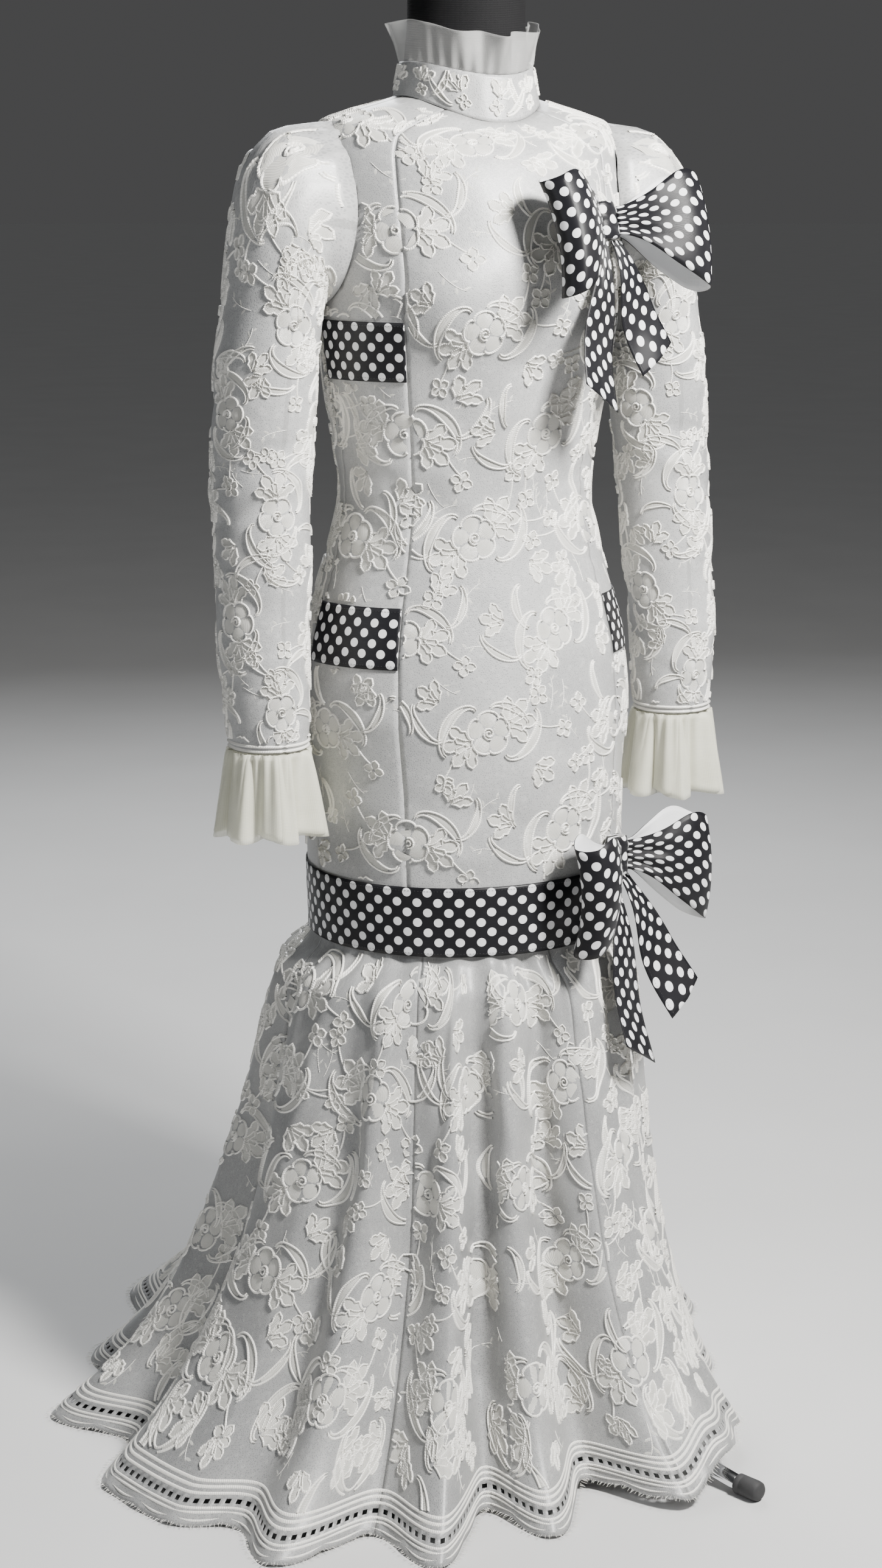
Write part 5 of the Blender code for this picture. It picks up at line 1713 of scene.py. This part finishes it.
def make_sleeve_lace():
    """Lace of both sleeves, with sprays over the head and two cords at the wrist."""
    arm = Lacework(dressed_sleeve, sleeve_normals)
    for a, b, turn, scale, mirrored in lattice(-90, 270, -0.030, 0.56, ARM_STEP, 1.0, 5, 0.110, 0.096):
        arm.lay(BOUQUET, (a, b), turn + 1.25, 0.86 * scale, mirrored, (ARM_STEP, 1.0),
                lambda p, q: (q > 0.005) & (q < 0.543))
    for place, turn in (((4, 0.046), 0.3), ((176, 0.050), -0.2), ((-32, 0.070), 1.0)):
        arm.lay(SHOULDER_SPRAY, place, turn, 1.0, turn < 0, (0.0012, 1.0), lambda p, q: q > 0.005)
    steps = np.array([ARM_STEP, 1.0])
    for place in (0.5455, 0.5505):
        ring = joined(np.linspace(0, 360, 73), place)
        flat, *rest = cord_grid(ring * steps, 0.0017, 0.0024)
        arm.parts.append((flat / steps, *rest))
    for side, word in SIDES:
        arm.build("lacework_sleeve_" + word, "lace", np.array([side, 1.0, 1.0]))


def make_flounce_lace(arc, run):
    """Lace of the flounce by halves, measured round the hem and up from the floor."""
    total = run[-1]
    seams = [first for _, first, _ in gores(arc, run)]

    def falling_out(u, h):
        angle = np.clip(np.interp(u, run, arc), -179.2, 179.2)
        return normals(flounce, angle, h, 0.4, 0.003)

    for word, first, last in (("right", 0.0, total / 2), ("left", total / 2, total)):
        skirt = Lacework(lambda u, h: dressed_flounce(np.interp(u, run, arc), h), falling_out)

        def shows(u, h):
            clear = (h > 0.036) & (h < 0.534) & (u > first) & (u < last)
            for seam in seams:
                clear &= np.abs(u - seam) > 0.0016
            return clear

        for j in range(5):
            h = 0.495 - j * 0.094
            girth = lengths(flounce(arc[::20], h))[-1] / total
            columns = max(3, int(round((last - first) * girth / 0.155)))
            noise = np.random.default_rng(20 + j)
            for k in range(columns):
                u = first + (k + 0.25 + 0.5 * (j % 2)) * (last - first) / columns
                jitter = noise.uniform(-1, 1, 3)
                skirt.lay(BOUQUET, (u, h + jitter[0] * 0.006), 0.3 * jitter[1] + 0.2,
                          1.0 + 0.06 * jitter[2], (j + k) % 2 == 0, (girth, 1.0), shows)
        u = np.linspace(first, last, int((last - first) / 0.006))
        for height, half, wave in HEM_CORDS:
            h = height + wave * 0.0042 * (0.5 - scallop(u))
            skirt.parts.append(cord_grid(joined(u, h), half, 0.0014))
        count = int(round((last - first) / 0.145))
        for k in range(count):
            skirt.lay(HEM_SCROLLS, (first + (k + 0.5) * (last - first) / count, 0.078), 0.0, 0.98,
                      k % 2 == 0, (0.96, 1.0), lambda p, q: (q > 0.0385) & (p > first) & (p < last))
        skirt.build("lacework_flounce_" + word, "hem_lace")


VIEW = dict(turn=-27.0, distance=3.0, height=1.35, aside=0.49, down=12.45, lens=65.05)


def camera():
    """Standing viewer in front and to the gown's right, at chest height."""
    lens = bpy.data.cameras.new("viewer")
    eye = linked("viewer", lens)
    turn = math.radians(VIEW["turn"])
    place = Vector((VIEW["distance"] * math.sin(turn), -VIEW["distance"] * math.cos(turn),
                    VIEW["height"])) + Vector(AXIS)
    eye.location = place
    to_axis = Vector(AXIS) - place
    heading = math.atan2(to_axis.x, to_axis.y) - math.radians(VIEW["aside"])
    down = math.radians(VIEW["down"])
    look = Vector((math.sin(heading) * math.cos(down), math.cos(heading) * math.cos(down), -math.sin(down)))
    eye.rotation_euler = look.to_track_quat("-Z", "Y").to_euler()
    lens.sensor_fit = "VERTICAL"
    lens.sensor_height = 36.0
    lens.lens = VIEW["lens"]
    lens.clip_end = 60.0
    bpy.context.scene.camera = eye


def studio():
    """Wide pale floor, soft lights and a pale band of light at the level of the horizon."""
    look, sheet = start_material("studio floor")
    grain = blotches(sheet, 3.0)
    link(look, grain.tint((0.60, 0.60, 0.60), (0.66, 0.66, 0.66)), 0.8 + grain * 0.1)
    mesh = bmesh.new()
    bmesh.ops.create_grid(mesh, x_segments=1, y_segments=1, size=60.0)
    bmesh.ops.translate(mesh, verts=mesh.verts, vec=(0.0, 0.0, -0.0002))
    data = bpy.data.meshes.new("floor")
    mesh.to_mesh(data)
    mesh.free()
    data.materials.append(look)
    linked("floor", data)
    for name, place, aim, size, power, tint in (
        ("key", (0.55, -1.40, 2.20), (0.0, 0.0, 1.10), 0.42, 145, (1.0, 0.985, 0.955)),
        ("side", (-2.7, -0.5, 2.2), (0.0, 0.0, 0.9), 0.8, 17, (0.95, 0.975, 1.0)),
        ("fill", (2.9, -0.9, 1.4), (0.0, 0.0, 0.7), 1.0, 7, (1.0, 0.93, 0.84)),
        ("back", (0.9, 2.6, 2.8), (0.0, 0.0, 0.9), 1.6, 95, (0.96, 0.98, 1.0)),
    ):
        data = bpy.data.lights.new(name, "AREA")
        data.size = size
        data.energy = power
        data.color = tint
        lamp = linked(name, data)
        lamp.location = Vector(place) + Vector(AXIS)
        lamp.rotation_euler = (Vector(aim) - Vector(place)).to_track_quat("-Z", "Y").to_euler()
    world = bpy.data.worlds.new("studio")
    world.use_nodes = True
    sky = Shade(world.node_tree, None)
    height = sky.node("ShaderNodeSeparateXYZ", Vector=sky.node("ShaderNodeTexCoord", out=0))
    up = Shade(height.tree, height.value.node.outputs[2])
    backdrop = world.node_tree.nodes["Background"]
    fade = up.ramp(0.10, 0.45).tint((0.070, 0.070, 0.071), (0.026, 0.027, 0.028))
    world.node_tree.links.new(fade.value, backdrop.inputs[0])
    backdrop.inputs[1].default_value = 1.0
    bpy.context.scene.world = world
    sun = bpy.data.lights.new("sky", "SUN")
    sun.energy = 0.35
    sun.angle = math.radians(40)
    linked("sky", sun).rotation_euler = (math.radians(38), math.radians(14), 0)


camera()
studio()
panels = make_panels()
sleeves = make_sleeves()
make_cuffs()
make_collar()
make_collar_frill()
arc, run = make_flounce()
make_lashes(arc, run)
make_form()
make_stand()
make_side_bands()
make_knee_band()
for title, bow, carrier in (("chest_bow", CHEST_BOW, "cloth_front_centre"),
                            ("knee_bow", KNEE_BOW, "ribbon_knee_band")):
    make_loops(title, bow)
    make_knot_and_tails(title, bow)
make_stitches()
make_body_lace()
make_sleeve_lace()
make_flounce_lace(arc, run)
